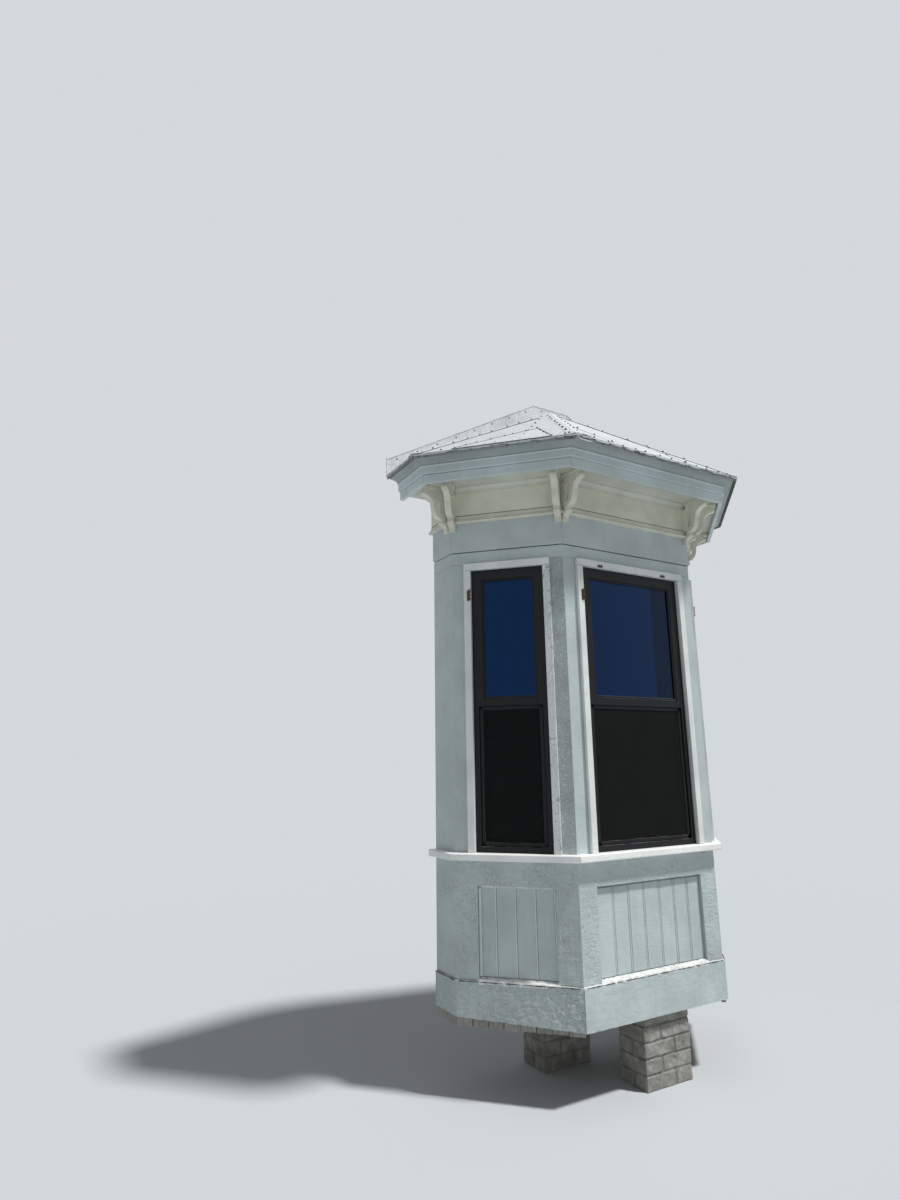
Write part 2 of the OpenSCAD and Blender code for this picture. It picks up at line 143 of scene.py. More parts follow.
class Graph:
    """A node tree being filled."""

    def __init__(self, tree: bpy.types.NodeTree) -> None:
        """Takes over a tree and empties it."""
        self.tree = tree
        tree.nodes.clear()

    def feed(self, socket: bpy.types.NodeSocket, value: Input) -> None:
        """Links a socket, or sets a plain value, on one input."""
        if isinstance(value, Value):
            self.tree.links.new(value.socket, socket)
        elif isinstance(value, tuple) and len(value) == 3 and socket.type == "RGBA":
            socket.default_value = (*value, 1.0)
        else:
            socket.default_value = value

    def add(self, kind: str, output: str | int, inputs: dict | None = None, **settings: object) -> Value:
        """Adds one shader node.

        Args:
            kind: the node's type, without ShaderNode before it.
            output: the name or place of the output that is wanted.
            inputs: what goes into its inputs, by name or place.
            settings: its own properties.

        Returns:
            The output.
        """
        node = self.tree.nodes.new("ShaderNode" + kind)
        for key, value in settings.items():
            setattr(node, key, value)
        for key, value in (inputs or {}).items():
            self.feed(node.inputs[key], value)
        return Value(self, node.outputs[output])

    def end(self, kind: str, surface: Value) -> None:
        """Adds the tree's output node."""
        self.feed(self.tree.nodes.new("ShaderNodeOutput" + kind).inputs["Surface"], surface)

    def place(self) -> Value:
        """The point on the object, in metres."""
        return self.add("TexCoord", "Object")

    def board(self) -> Value:
        """The point on a board's own face, in metres along and across it."""
        return self.add("UVMap", "UV", uv_map=BOARD_MAP)

    def tone(self) -> Value:
        """The tone that was given to each board or brick, 0 to 1."""
        return self.add("Attribute", "Fac", attribute_name=TONE)

    def seen(self, *rays: str) -> Value:
        """1 for those kinds of rays, otherwise 0."""
        shares = [self.add("LightPath", f"Is {ray} Ray") for ray in rays]
        result = shares[0]
        for share in shares[1:]:
            result = self.maths("MAXIMUM", result, share)
        return result

    def maths(self, operation: str, first: Input, second: Input = 0.0) -> Value:
        """One sum on two values."""
        return self.add("Math", 0, {0: first, 1: second}, operation=operation)

    def noise(self, vector: Value, scale: Input, detail: float = 4.0, rough: float = 0.55,
              warp: float = 0.0, output: str = "Fac") -> Value:
        """Cloudy noise, about 0.3 to 0.7, with that many cells to the metre."""
        inputs = {"Vector": vector, "Scale": scale, "Detail": detail, "Roughness": rough, "Distortion": warp}
        return self.add("TexNoise", output, inputs)

    def cells(self, vector: Value, scale: float, feature: str = "F1") -> Value:
        """Distance in a field of cells, with that many cells to the metre."""
        return self.add("TexVoronoi", "Distance", {"Vector": vector, "Scale": scale}, feature=feature)

    def blend(self, share: Input, first: Input, second: Input, mode: str = "MIX") -> Value:
        """A mix of two colours by a share."""
        return self.add("Mix", 2, {0: share, 6: first, 7: second}, data_type="RGBA", blend_type=mode,
                        clamp_result=True)

    def shader(self, colour: Input, rough: Input, height: Value | None = None, depth: float = 0.0,
               more: dict | None = None) -> Value:
        """Adds the main shader.

        Args:
            colour: its base colour.
            rough: its roughness.
            height: a height field that bends the normal.
            depth: how deep that field is, in metres.
            more: its other inputs, by name.

        Returns:
            The shader.
        """
        inputs = {"Base Color": colour, "Roughness": rough, **(more or {})}
        if height is not None:
            relief = {"Height": height, "Distance": depth, "Strength": 1.0}
            inputs["Normal"] = self.add("Bump", "Normal", relief)
        return self.add("BsdfPrincipled", "BSDF", inputs)


class Effect:
    """A node group that several finishes share. It is built once, when a finish first asks for it."""

    name: ClassVar[str] = ""
    takes: ClassVar[dict[str, float | Triple]] = {}
    gives: ClassVar[tuple[str, ...]] = ()

    def fill(self, graph: Graph, **given: Value) -> tuple[Value, ...]:
        """Builds the inside of the group, and returns its outputs in the order of gives."""
        raise NotImplementedError

    def tree(self) -> bpy.types.NodeTree:
        """The group's tree, made if there is none yet."""
        if self.name in bpy.data.node_groups:
            return bpy.data.node_groups[self.name]
        tree = bpy.data.node_groups.new(self.name, "ShaderNodeTree")
        for key, value in self.takes.items():
            kind = "NodeSocketVector" if isinstance(value, tuple) else "NodeSocketFloat"
            tree.interface.new_socket(key, in_out="INPUT", socket_type=kind).default_value = value
        for key in self.gives:
            tree.interface.new_socket(key, in_out="OUTPUT", socket_type="NodeSocketFloat")
        graph = Graph(tree)
        given = tree.nodes.new("NodeGroupInput").outputs
        results = self.fill(graph, **{key: Value(graph, given[key]) for key in self.takes})
        end = tree.nodes.new("NodeGroupOutput")
        for key, result in zip(self.gives, results):
            graph.feed(end.inputs[key], result)
        return tree

    def use(self, graph: Graph, **inputs: Input) -> SimpleNamespace:
        """Places the group in a material, and returns its outputs by name."""
        node = graph.tree.nodes.new("ShaderNodeGroup")
        node.node_tree = self.tree()
        for key, value in inputs.items():
            graph.feed(node.inputs[key], value)
        return SimpleNamespace(**{key: Value(graph, node.outputs[key]) for key in self.gives})


class PaintSkin(Effect):
    """Brush marks, lumps, level sags and fine cracks of many old coats, with a mottled tone."""

    name = "paint_skin"
    takes = {"board": (0.0, 0.0, 0.0), "place": (0.0, 0.0, 0.0), "grain": (1.0, 0.06, 1.0), "cracks": 0.4,
             "net": (85.0, 50.0, 85.0), "lumps": 30.0}
    gives = ("height", "mottle", "crack")

    def fill(self, graph: Graph, board: Value, place: Value, grain: Value, cracks: Value, net: Value,
             lumps: Value) -> tuple[Value, ...]:
        """Adds the marks to each other, and takes the cracks away."""
        brush = graph.noise(board.scaled(grain), 520.0, 2.0)
        swell = graph.noise(place, lumps, 4.0, 0.5, 0.3)
        sags = graph.noise(board.scaled((1.0, 3.0, 1.0)), lumps, 3.0, 0.55, 0.6)
        sway = graph.add("TexNoise", "Color", {"Vector": place, "Scale": 30.0, "Detail": 3.0})
        bent = board.moved(sway.scaled((0.02, 0.02, 0.02))).scaled(net)
        lines = graph.cells(bent, 1.0, "DISTANCE_TO_EDGE").ramp(0.0, 0.07, 1.0, 0.0)
        crack = lines * graph.noise(place, 9.0, 3.0).ramp(0.42, 0.6) * cracks
        height = brush * 0.12 + swell * 0.38 + sags * 0.5 - crack * 0.35
        return height, graph.noise(place, 4.5, 5.0, 0.6), crack


class Flaking(Effect):
    """Patches where the top coat has come away."""

    name = "flaking"
    takes = {"place": (0.0, 0.0, 0.0), "amount": 0.2, "scale": 22.0}
    gives = ("bare", "rim")

    def fill(self, graph: Graph, place: Value, amount: Value, scale: Value) -> tuple[Value, ...]:
        """Cuts a cloudy field at a level set by the amount."""
        over = graph.noise(place, scale, 9.0, 0.66, 0.5) - (0.74 - amount * 0.46)
        bare = over.ramp(-0.006, 0.01)
        return bare, over.ramp(-0.035, -0.004) * (1.0 - bare)


class WornEdges(Effect):
    """Where the sharp edges of a piece have lost their paint."""

    name = "worn_edges"
    takes = {"place": (0.0, 0.0, 0.0), "amount": 0.5, "width": 0.006}
    gives = ("mask",)

    def fill(self, graph: Graph, place: Value, amount: Value, width: Value) -> tuple[Value, ...]:
        """Compares the true normal with a rounded one, and breaks the line up with noise."""
        normals = {0: graph.add("Bevel", "Normal", {"Radius": width}, samples=4),
                   1: graph.add("NewGeometry", "Normal")}
        edge = graph.add("VectorMath", "Value", normals, operation="DOT_PRODUCT").ramp(0.985, 0.86)
        return (edge * graph.noise(place, 42.0, 6.0, 0.65).ramp(0.4, 0.62) * amount,)


class Weather(Effect):
    """Dust on what faces up, runs of dirt down upright faces, and splashes near the ground."""

    name = "weather"
    takes = {"place": (0.0, 0.0, 0.0)}
    gives = ("dust", "runs", "splash")

    def fill(self, graph: Graph, place: Value) -> tuple[Value, ...]:
        """Reads the normal and the height of the point."""
        facing = graph.add("SeparateXYZ", 2, {0: graph.add("NewGeometry", "Normal")})
        cloud = graph.noise(place, 14.0, 6.0, 0.6)
        thin = graph.noise(place.scaled((38.0, 38.0, 1.6)), 1.0, 4.0, 0.6).ramp(0.5, 0.72)
        wide = graph.noise(place.scaled((7.0, 7.0, 0.7)), 1.0, 3.0).ramp(0.42, 0.62)
        low = graph.add("SeparateXYZ", 2, {0: place}).ramp(0.75, 0.25)
        dust = facing.ramp(0.35, 0.95) * cloud.ramp(0.35, 0.65)
        return dust, thin * wide * facing.ramp(0.5, 0.1), low * cloud.ramp(0.38, 0.6)


class WoodGrain(Effect):
    """Growth lines and pores of bare softwood."""

    name = "wood_grain"
    takes = {"board": (0.0, 0.0, 0.0), "grain": (1.0, 0.06, 1.0), "tone": 0.5}
    gives = ("lines", "pores")

    def fill(self, graph: Graph, board: Value, grain: Value, tone: Value) -> tuple[Value, ...]:
        """Stretches noise along the board, shifted for each board by its tone."""
        shift = graph.add("CombineXYZ", 0, {0: tone, 1: tone, 2: tone})
        run = board.moved(shift.scaled((7.3, 3.1, 5.7))).scaled(grain)
        rings = graph.maths("SINE", graph.noise(run, 26.0, 2.0) * 95.0)
        return rings.ramp(-1.0, 1.0), graph.noise(run, 900.0, 3.0, 0.7)


class RustBloom(Effect):
    """Spots and patches of rust."""

    name = "rust_bloom"
    takes = {"place": (0.0, 0.0, 0.0), "amount": 0.3}
    gives = ("mask", "deep")

    def fill(self, graph: Graph, place: Value, amount: Value) -> tuple[Value, ...]:
        """Cuts fine noise at a level set by the amount."""
        over = graph.noise(place, 26.0, 9.0, 0.68) - (0.76 - amount * 0.5)
        return over.ramp(-0.03, 0.05), graph.noise(place, 120.0, 5.0, 0.6)


# Finishes

BACKGROUND: Colour = (0.66, 0.69, 0.72)
BLUE: Colour = (0.5, 0.57, 0.57)
CREAM: Colour = (0.76, 0.79, 0.76)
SHADED_CREAM: Colour = (0.68, 0.68, 0.57)


@dataclass(frozen=True)
class Finish:
    """A named surface finish, which makes its material once."""

    name: str

    def material(self) -> bpy.types.Material:
        """The finish's material, made if there is none yet."""
        if self.name in bpy.data.materials:
            return bpy.data.materials[self.name]
        made = bpy.data.materials.new(self.name)
        made.use_nodes = True
        graph = Graph(made.node_tree)
        graph.end("Material", self.surface(graph))
        return made

    def surface(self, graph: Graph) -> Value:
        """Builds the shader and returns it."""
        raise NotImplementedError


@dataclass(frozen=True)
class HousePaint(Finish):
    """Brushed house paint on boards, with older coats and grey wood under it.

    Attributes:
        colour: the top coat.
        old: the older, chalky coat that shows where the top coat has come away.
        wood: the bare grey wood on worn edges.
        grain: the way of the brush marks.
        cracks: how deep the net of cracks is, 0 to 1.
        net: cells of that net to the metre, along and across the board.
        lumps: lumps to the metre.
        flaking: share of the top coat that has come away.
        flakes: flakes to the metre.
        wear: how worn the edges are, which on the panel boards is partly a painted highlight.
        dirt: how strong the runs and splashes are, which on the crown and the deck's edge are partly painted
            shade.
        relief: depth of the lumps, in metres.
        gloss: roughness of the top coat.
    """

    colour: Colour = BLUE
    old: Colour = (0.66, 0.67, 0.65)
    wood: Colour = (0.3, 0.28, 0.25)
    grain: Grain = Grain.UPRIGHT
    cracks: float = 0.4
    net: Triple = (85.0, 50.0, 85.0)
    lumps: float = 30.0
    flaking: float = 0.12
    flakes: float = 26.0
    wear: float = 0.6
    dirt: float = 0.5
    relief: float = 0.0016
    gloss: float = 0.5

    def surface(self, graph: Graph) -> Value:
        """Lays the coats over each other."""
        place, board, grain = graph.place(), graph.board(), self.grain.value
        skin = PaintSkin().use(graph, board=board, place=place, grain=grain, cracks=self.cracks,
                               net=self.net, lumps=self.lumps)
        flakes = Flaking().use(graph, place=place, amount=self.flaking, scale=self.flakes)
        edges = WornEdges().use(graph, place=place, amount=self.wear, width=0.007)
        weather = Weather().use(graph, place=place)
        wood = WoodGrain().use(graph, board=board, grain=grain, tone=graph.tone())
        light = tuple(min(1.0, part * 1.07 + 0.01) for part in self.colour)
        top = skin.mottle.ramp(0.3, 0.7).pick(shade(self.colour, 0.88), light)
        old = skin.height.ramp(0.35, 0.65).pick(shade(self.old, 0.82), self.old)
        grey = wood.lines.pick(shade(self.wood, 0.6), self.wood)
        soil = weather.runs * (0.5 * self.dirt) + weather.splash * (0.55 * self.dirt)
        colour = (skin.crack * 0.55).pick(top, shade(self.colour, 0.42))
        # Flake rims are mixed a quarter of the way to the lighter tone: a painted highlight on their curled
        # edges.
        for share, over in ((flakes.bare, old), (flakes.rim * 0.25, light), (edges.mask, old),
                            (edges.mask * flakes.bare, grey),
                            (soil + weather.dust * (0.3 * self.dirt), (0.2, 0.19, 0.16))):
            colour = share.pick(colour, over)
        rough = skin.height.ramp(0.3, 0.7, self.gloss - 0.08, self.gloss + 0.12) + flakes.bare * 0.25
        height = skin.height + (flakes.rim * 0.1 - flakes.bare * 0.22)
        return graph.shader(colour, rough, height, self.relief)


@dataclass(frozen=True)
class BareTimber(Finish):
    """Unpainted softwood, grey outside or warm inside.

    Attributes:
        pale: the colour between the growth lines.
        dark: the colour of the growth lines.
        grain: the way that the grain runs.
        rough: how rough the surface is.
    """

    pale: Colour = (0.36, 0.33, 0.28)
    dark: Colour = (0.17, 0.15, 0.125)
    grain: Grain = Grain.ALONG
    rough: float = 0.78

    def surface(self, graph: Graph) -> Value:
        """Mixes grain lines, pores and each board's own tone."""
        tone = graph.tone()
        wood = WoodGrain().use(graph, board=graph.board(), grain=self.grain.value, tone=tone)
        weather = Weather().use(graph, place=graph.place())
        colour = (wood.lines * 0.55).pick(self.pale, self.dark)
        colour = wood.pores.ramp(0.5, 0.75).pick(colour, shade(self.dark, 0.6))
        colour = graph.blend(1.0, colour, tone.pick((0.72, 0.72, 0.72), (1.0, 1.0, 1.0)), "MULTIPLY")
        colour = (weather.runs * 0.4).pick(colour, shade(self.dark, 0.4))
        rough = wood.pores.ramp(0.3, 0.7, self.rough - 0.1, self.rough + 0.12)
        return graph.shader(colour, rough, wood.lines * 0.5 - wood.pores, 0.0007)


@dataclass(frozen=True)
class RoofZinc(Finish):
    """Galvanised sheet gone chalky, with stains and rust.

    Attributes:
        colour: the chalky zinc.
        stain: the grey-brown of the stains.
        rust: share of the surface that has rusted.
        metal: how metallic it still looks.
    """

    colour: Colour = (0.62, 0.65, 0.66)
    stain: Colour = (0.34, 0.34, 0.32)
    rust: float = 0.1
    metal: float = 0.35

    def surface(self, graph: Graph) -> Value:
        """Mixes spangle, stains and rust."""
        place = graph.place()
        spangle = graph.cells(place, 95.0)
        cloud = graph.noise(place, 6.0, 7.0, 0.62, 0.3)
        weather = Weather().use(graph, place=place)
        rust = RustBloom().use(graph, place=place, amount=self.rust)
        colour = spangle.ramp(0.1, 0.75).pick(shade(self.colour, 1.08), shade(self.colour, 0.88))
        colour = cloud.ramp(0.46, 0.7, 0.0, 0.3).pick(colour, self.stain)
        colour = (weather.runs * 0.35).pick(colour, self.stain)
        brown = rust.deep.ramp(0.35, 0.65).pick((0.12, 0.045, 0.02), (0.3, 0.13, 0.055))
        rough = spangle.ramp(0.1, 0.8, 0.56, 0.72) + rust.mask * 0.2
        dents = cloud * 0.9 + graph.noise(place, 130.0, 3.0) * 0.1
        return graph.shader(rust.mask.pick(colour, brown), rough, dents, 0.004,
                            {"Metallic": (1.0 - rust.mask) * self.metal})


@dataclass(frozen=True)
class RustyIron(Finish):
    """Iron that has rusted all over.

    Attributes:
        scale: the dark scale.
        bloom: the fresher rust on it.
        specks: the fine specks on both.
    """

    scale: Colour = (0.035, 0.024, 0.019)
    bloom: Colour = (0.12, 0.055, 0.03)
    specks: Colour = (0.09, 0.05, 0.035)

    def surface(self, graph: Graph) -> Value:
        """Mixes dark scale with fresher rust."""
        place = graph.place()
        bloom = RustBloom().use(graph, place=place, amount=0.6)
        fine = graph.noise(place, 420.0, 6.0, 0.7)
        colour = fine.ramp(0.45, 0.7).pick(bloom.mask.pick(self.scale, self.bloom), self.specks)
        return graph.shader(colour, fine.ramp(0.3, 0.7, 0.7, 0.95), fine, 0.0012)


@dataclass(frozen=True)
class BlackCoat(Finish):
    """Satin black coating on the window frames, with a pale film on its ledges: dust and partly painted
    highlight.
    """

    colour: Colour = (0.007, 0.0075, 0.009)

    def surface(self, graph: Graph) -> Value:
        """A dark coat with fine orange peel, scuffs, and dust that is partly painted highlight."""
        place = graph.place()
        weather = Weather().use(graph, place=place)
        scuff = graph.noise(place.scaled((90.0, 90.0, 9.0)), 1.0, 5.0, 0.6)
        colour = scuff.ramp(0.5, 0.75, 0.0, 0.25).pick(self.colour, (0.03, 0.031, 0.033))
        # Upward faces go pale: dust, and partly a painted highlight along the rails.
        colour = (weather.dust * 0.8).pick(colour, (0.24, 0.24, 0.235))
        return graph.shader(colour, scuff.ramp(0.3, 0.7, 0.34, 0.5), graph.noise(place, 700.0, 3.0), 0.0002,
                            {"Specular IOR Level": 0.25})


@dataclass(frozen=True)
class PaneGlass(Finish):
    """Glass darkened as painted shade of the room behind, with a faint film of dirt and a slow wave in it.

    Attributes:
        tint: colour through a pane, dark as painted shade, navy as painted sky reflection.
        gleam: the sky blue given to what is mirrored in it, a painted reflection.
    """

    tint: Colour = (0.0005, 0.012, 0.05)
    gleam: Colour = (0.22, 0.42, 0.85)

    def surface(self, graph: Graph) -> Value:
        """Tinted glass whose roughness rises where dirt lies on it."""
        place = graph.place()
        specks = graph.noise(place, 300.0, 3.0).ramp(0.68, 0.76, 0.0, 0.3)
        rough = graph.noise(place, 9.0, 6.0, 0.65).ramp(0.45, 0.75, 0.015, 0.09)
        # Dark tint: painted shade of the room behind; blue specular tint: painted sky reflection.
        return graph.shader(specks.pick(self.tint, (0.08, 0.08, 0.075)), rough,
                            graph.noise(place, 2.2, 1.0), 0.002,
                            {"Transmission Weight": 1.0, "IOR": 1.45, "Specular Tint": self.gleam})


@dataclass(frozen=True)
class InsectScreen(Finish):
    """Fine black mesh, dusty in patches.

    Attributes:
        wire: width of a wire.
        step: from one wire to the next.
    """

    wire: float = 0.00035
    step: float = 0.0016

    def surface(self, graph: Graph) -> Value:
        """A dark sheet with square holes and dust."""
        black, white = (0.0, 0.0, 0.0), (1.0, 1.0, 1.0)
        wires = graph.add("TexBrick", "Color",
                          {"Vector": graph.board(), "Color1": black, "Color2": black, "Mortar": white,
                           "Scale": 1.0, "Mortar Size": self.wire, "Mortar Smooth": 0.2,
                           "Brick Width": self.step, "Row Height": self.step}, offset=0.0)
        cloud = graph.noise(graph.place(), 7.0, 6.0, 0.62)
        colour = cloud.ramp(0.42, 0.7, 0.0, 0.3).pick((0.0075, 0.008, 0.008), (0.018, 0.019, 0.018))
        return graph.shader(colour, cloud.ramp(0.3, 0.7, 0.6, 0.85),
                            more={"Specular IOR Level": 0.1, "Alpha": graph.maths("MAXIMUM", wires, 0.45)})


@dataclass(frozen=True)
class Limewash(Finish):
    """Old brick under worn limewash.

    Attributes:
        clay: the brick where the wash has gone.
        wash: the wash.
        worn: share of the wash that has gone.
    """

    clay: Colour = (0.24, 0.2, 0.16)
    wash: Colour = (0.4, 0.4, 0.37)
    worn: float = 0.14

    def surface(self, graph: Graph) -> Value:
        """Mixes wash and clay, with soot and pits."""
        place = graph.place()
        flakes = Flaking().use(graph, place=place, amount=self.worn, scale=18.0)
        weather = Weather().use(graph, place=place)
        cloud = graph.noise(place, 8.0, 7.0, 0.65)
        pits = graph.noise(place, 160.0, 5.0, 0.65)
        wash = cloud.ramp(0.35, 0.65).pick(shade(self.wash, 0.62), self.wash)
        clay = graph.tone().pick(shade(self.clay, 0.65), shade(self.clay, 1.35))
        colour = (flakes.bare * 0.8).pick(wash, clay)
        colour = pits.ramp(0.58, 0.72, 0.0, 0.6).pick(colour, (0.1, 0.09, 0.075))
        colour = (weather.splash * 0.45).pick(colour, (0.13, 0.12, 0.09))
        height = cloud - pits.ramp(0.55, 0.7) * 0.5
        return graph.shader(colour, pits.ramp(0.3, 0.7, 0.8, 0.96), height, 0.004)


@dataclass(frozen=True)
class StageFloor(Finish):
    """The pale studio floor, which fades into the background far from the object."""

    colour: Colour = (0.525, 0.555, 0.585)
    distance: float = 9.0

    def surface(self, graph: Graph) -> Value:
        """A matt floor near the object, and the plain background beyond it for the camera."""
        away = graph.add("VectorMath", "Value", {0: graph.place()}, operation="LENGTH")
        far = away.ramp(0.3 * self.distance, self.distance)
        matt = graph.add("BsdfDiffuse", 0, {"Color": self.colour})
        plain = graph.add("Emission", 0, {"Color": BACKGROUND, "Strength": 1.0})
        return graph.add("MixShader", 0, {0: far * graph.seen("Camera", "Transmission"), 1: matt, 2: plain})


WALL_PAINT = HousePaint("wall_paint", flaking=0.03, dirt=0.2, wear=0.35, relief=0.003)
KNEE_PAINT = HousePaint(
    "knee_paint", flaking=0.05, cracks=0.5, dirt=0.25, wear=0.5, lumps=26.0, relief=0.0085)
PEELING_PAINT = HousePaint(
    "peeling_paint", (0.41, 0.47, 0.48), (0.7, 0.74, 0.75), grain=Grain.ALONG, flaking=0.4, flakes=95.0,
    cracks=1.0, net=(90.0, 170.0, 90.0), lumps=75.0, wear=0.7, relief=0.006)
# Panel boards: their pale worn edges are real wear and partly a painted highlight along the grooves.
PANEL_PAINT = HousePaint(
    "panel_paint", old=(0.7, 0.75, 0.75), flaking=0.02, cracks=0.2, dirt=0.3, wear=1.0, relief=0.0034)
SKIRT_PAINT = HousePaint(
    "skirt_paint", old=(0.62, 0.66, 0.66), grain=Grain.ALONG, flaking=0.04, cracks=0.35,
    net=(14.0, 34.0, 14.0), lumps=27.0, wear=0.5, dirt=0.15, relief=0.021)
SMOOTH_SKIRT = HousePaint(
    "smooth_skirt", old=(0.62, 0.66, 0.66), grain=Grain.ALONG, flaking=0.03, cracks=0.15, lumps=14.0,
    wear=0.5, dirt=0.15, relief=0.0045)
LEDGE_PAINT = HousePaint(
    "ledge_paint", (0.8, 0.84, 0.84), (0.88, 0.89, 0.88), grain=Grain.ALONG, flaking=0.6, cracks=0.8,
    dirt=0.25, relief=0.004)
# Paler paint for the canted panels' beads and side stops: a painted highlight where light grazes them, partly
# worn paint.
BEAD_HIGHLIGHT_PAINT = HousePaint(
    "bead_paint", (0.64, 0.7, 0.7), (0.8, 0.83, 0.83), flaking=0.1, cracks=0.3, wear=0.8, dirt=0.15,
    relief=0.003)
# Head board paint, darker than the wall's blue: painted shade under the eaves.
HEAD_SHADE_PAINT = HousePaint(
    "head_paint", (0.47, 0.53, 0.545), grain=Grain.ALONG, flaking=0.01, cracks=0.1, dirt=0.08, wear=0.3)
FASCIA_PAINT = HousePaint(
    "fascia_paint", (0.55, 0.63, 0.64), grain=Grain.ALONG, flaking=0.05, cracks=0.2, dirt=0.15,
    relief=0.001)
# Crown paint: its darker colour and heavy dirt are painted shade under the roof's edge, partly real dirt.
CROWN_SHADE_PAINT = HousePaint(
    "crown_paint", (0.33, 0.375, 0.37), (0.42, 0.44, 0.42), grain=Grain.ALONG, flaking=0.08, cracks=0.3,
    dirt=0.9, relief=0.0014)
# Deck edge paint, dark and dirty: painted shade under the metal's edge, partly real dirt.
DECK_EDGE_SHADE_PAINT = HousePaint(
    "edge_paint", (0.3, 0.335, 0.33), (0.2, 0.19, 0.17), grain=Grain.ALONG, flaking=0.4, dirt=0.9)
TRIM_PAINT = HousePaint("trim_paint", CREAM, (0.6, 0.6, 0.56), flaking=0.06, wear=0.7, dirt=0.35)
WORN_TRIM_PAINT = HousePaint(
    "worn_trim_paint", (0.7, 0.74, 0.73), (0.5, 0.53, 0.53), flaking=0.3, cracks=1.0,
    net=(70.0, 34.0, 70.0), wear=1.0, dirt=0.4, relief=0.004)
SILL_PAINT = HousePaint(
    "sill_paint", (0.9, 0.91, 0.895), (0.76, 0.76, 0.73), grain=Grain.ALONG, flaking=0.08, cracks=0.7,
    wear=0.8, dirt=0.08, relief=0.0026)
EAVES_PAINT = HousePaint(
    "eaves_paint", SHADED_CREAM, (0.55, 0.55, 0.47), grain=Grain.ALONG, flaking=0.05, cracks=0.3,
    dirt=0.25, relief=0.0012)
FRIEZE_PAINT = replace(
    EAVES_PAINT, name="frieze_paint", flaking=0.01, cracks=0.1, dirt=0.1, relief=0.0009)
SOFFIT_PAINT = replace(
    FRIEZE_PAINT, name="soffit_paint", colour=(0.6, 0.62, 0.54), old=(0.5, 0.5, 0.44), flaking=0.02)
ROOM_PAINT = HousePaint(
    "room_paint", (0.7, 0.69, 0.65), (0.6, 0.58, 0.53), flaking=0.03, cracks=0.1, dirt=0.1, relief=0.0006)
OLD_TIMBER = BareTimber("old_timber")
CUT_TIMBER = BareTimber("cut_timber", (0.42, 0.34, 0.24), (0.24, 0.17, 0.1), Grain.UPRIGHT)
# Paler than the other bare timber: painted light on boards that face away from the key light.
LIGHTENED_CLOSING_BOARDS = BareTimber("closing_boards", (0.54, 0.48, 0.385), (0.37, 0.315, 0.24))
GREY_BOARDS = BareTimber("grey_boards", (0.42, 0.405, 0.375), (0.2, 0.19, 0.175), Grain.UPRIGHT)
# Near-black timber for thin dark lines: painted shadow in joints, over the frieze moulding and along the
# skirt's top.
JOINT_SHADOW_LINE = BareTimber("open_joint", (0.05, 0.045, 0.04), (0.02, 0.018, 0.016))
FLOOR_WOOD = BareTimber("floor_wood", (0.4, 0.27, 0.15), (0.2, 0.115, 0.055), rough=0.5)
DECK_WOOD = BareTimber("deck_wood", (0.2, 0.185, 0.165), (0.09, 0.08, 0.07))
SHEET_METAL = RoofZinc("sheet_metal", (0.58, 0.625, 0.64), rust=0.03, metal=0.06)
CAP_METAL = RoofZinc("cap_metal", (0.62, 0.665, 0.675), rust=0.03, metal=0.06)
PATCH_METAL = RoofZinc("patch_metal", (0.6, 0.65, 0.67), rust=0.02, metal=0.12)
# Dark metal for the cut edges of sheets and caps and the lines along the patch: painted shadow, partly rust.
EDGE_METAL_SHADOW = RoofZinc("edge_metal", (0.16, 0.165, 0.165), (0.08, 0.075, 0.07), 0.2, 0.0)
FLASHING_METAL = RoofZinc("flashing_metal", (0.7, 0.74, 0.745), rust=0.03, metal=0.05)
RUST = RustyIron("rusty_iron")
DULL_RUST = RustyIron("dull_rust", (0.1, 0.1, 0.095), (0.27, 0.255, 0.235), (0.13, 0.115, 0.1))
NAIL_IRON = RustyIron("nail_iron", (0.035, 0.035, 0.035), (0.07, 0.055, 0.045))
BLACK = BlackCoat("black_coat")
# Navy upper pane: painted sky reflection and painted shade; near-black lower pane: painted shade of the room
# behind.
UPPER_GLASS = PaneGlass("upper_glass")
LOWER_GLASS = PaneGlass("lower_glass", (0.002, 0.003, 0.004))
SCREEN = InsectScreen("insect_screen")
BRICK = Limewash("limewashed_brick")
MORTAR = Limewash("limewashed_mortar", (0.2, 0.19, 0.165), (0.3, 0.295, 0.27), 0.15)


# Shapes


def wave(point: Vector) -> float:
    """Smooth noise, 0 to 1."""
    return 0.5 + 0.5 * noise.noise(point)


def near(distance: float, width: float) -> float:
    """1 at no distance, and evenly less up to that width, where it is 0."""
    return max(0.0, 1.0 - distance / width)


def reach(verts: Iterable[bpy.types.MeshVertex | bmesh.types.BMVert], way: Vector) -> tuple[float, float]:
    """From where to where vertices lie along a way."""
    places = [vert.co.dot(way) for vert in verts]
    return min(places), max(places)


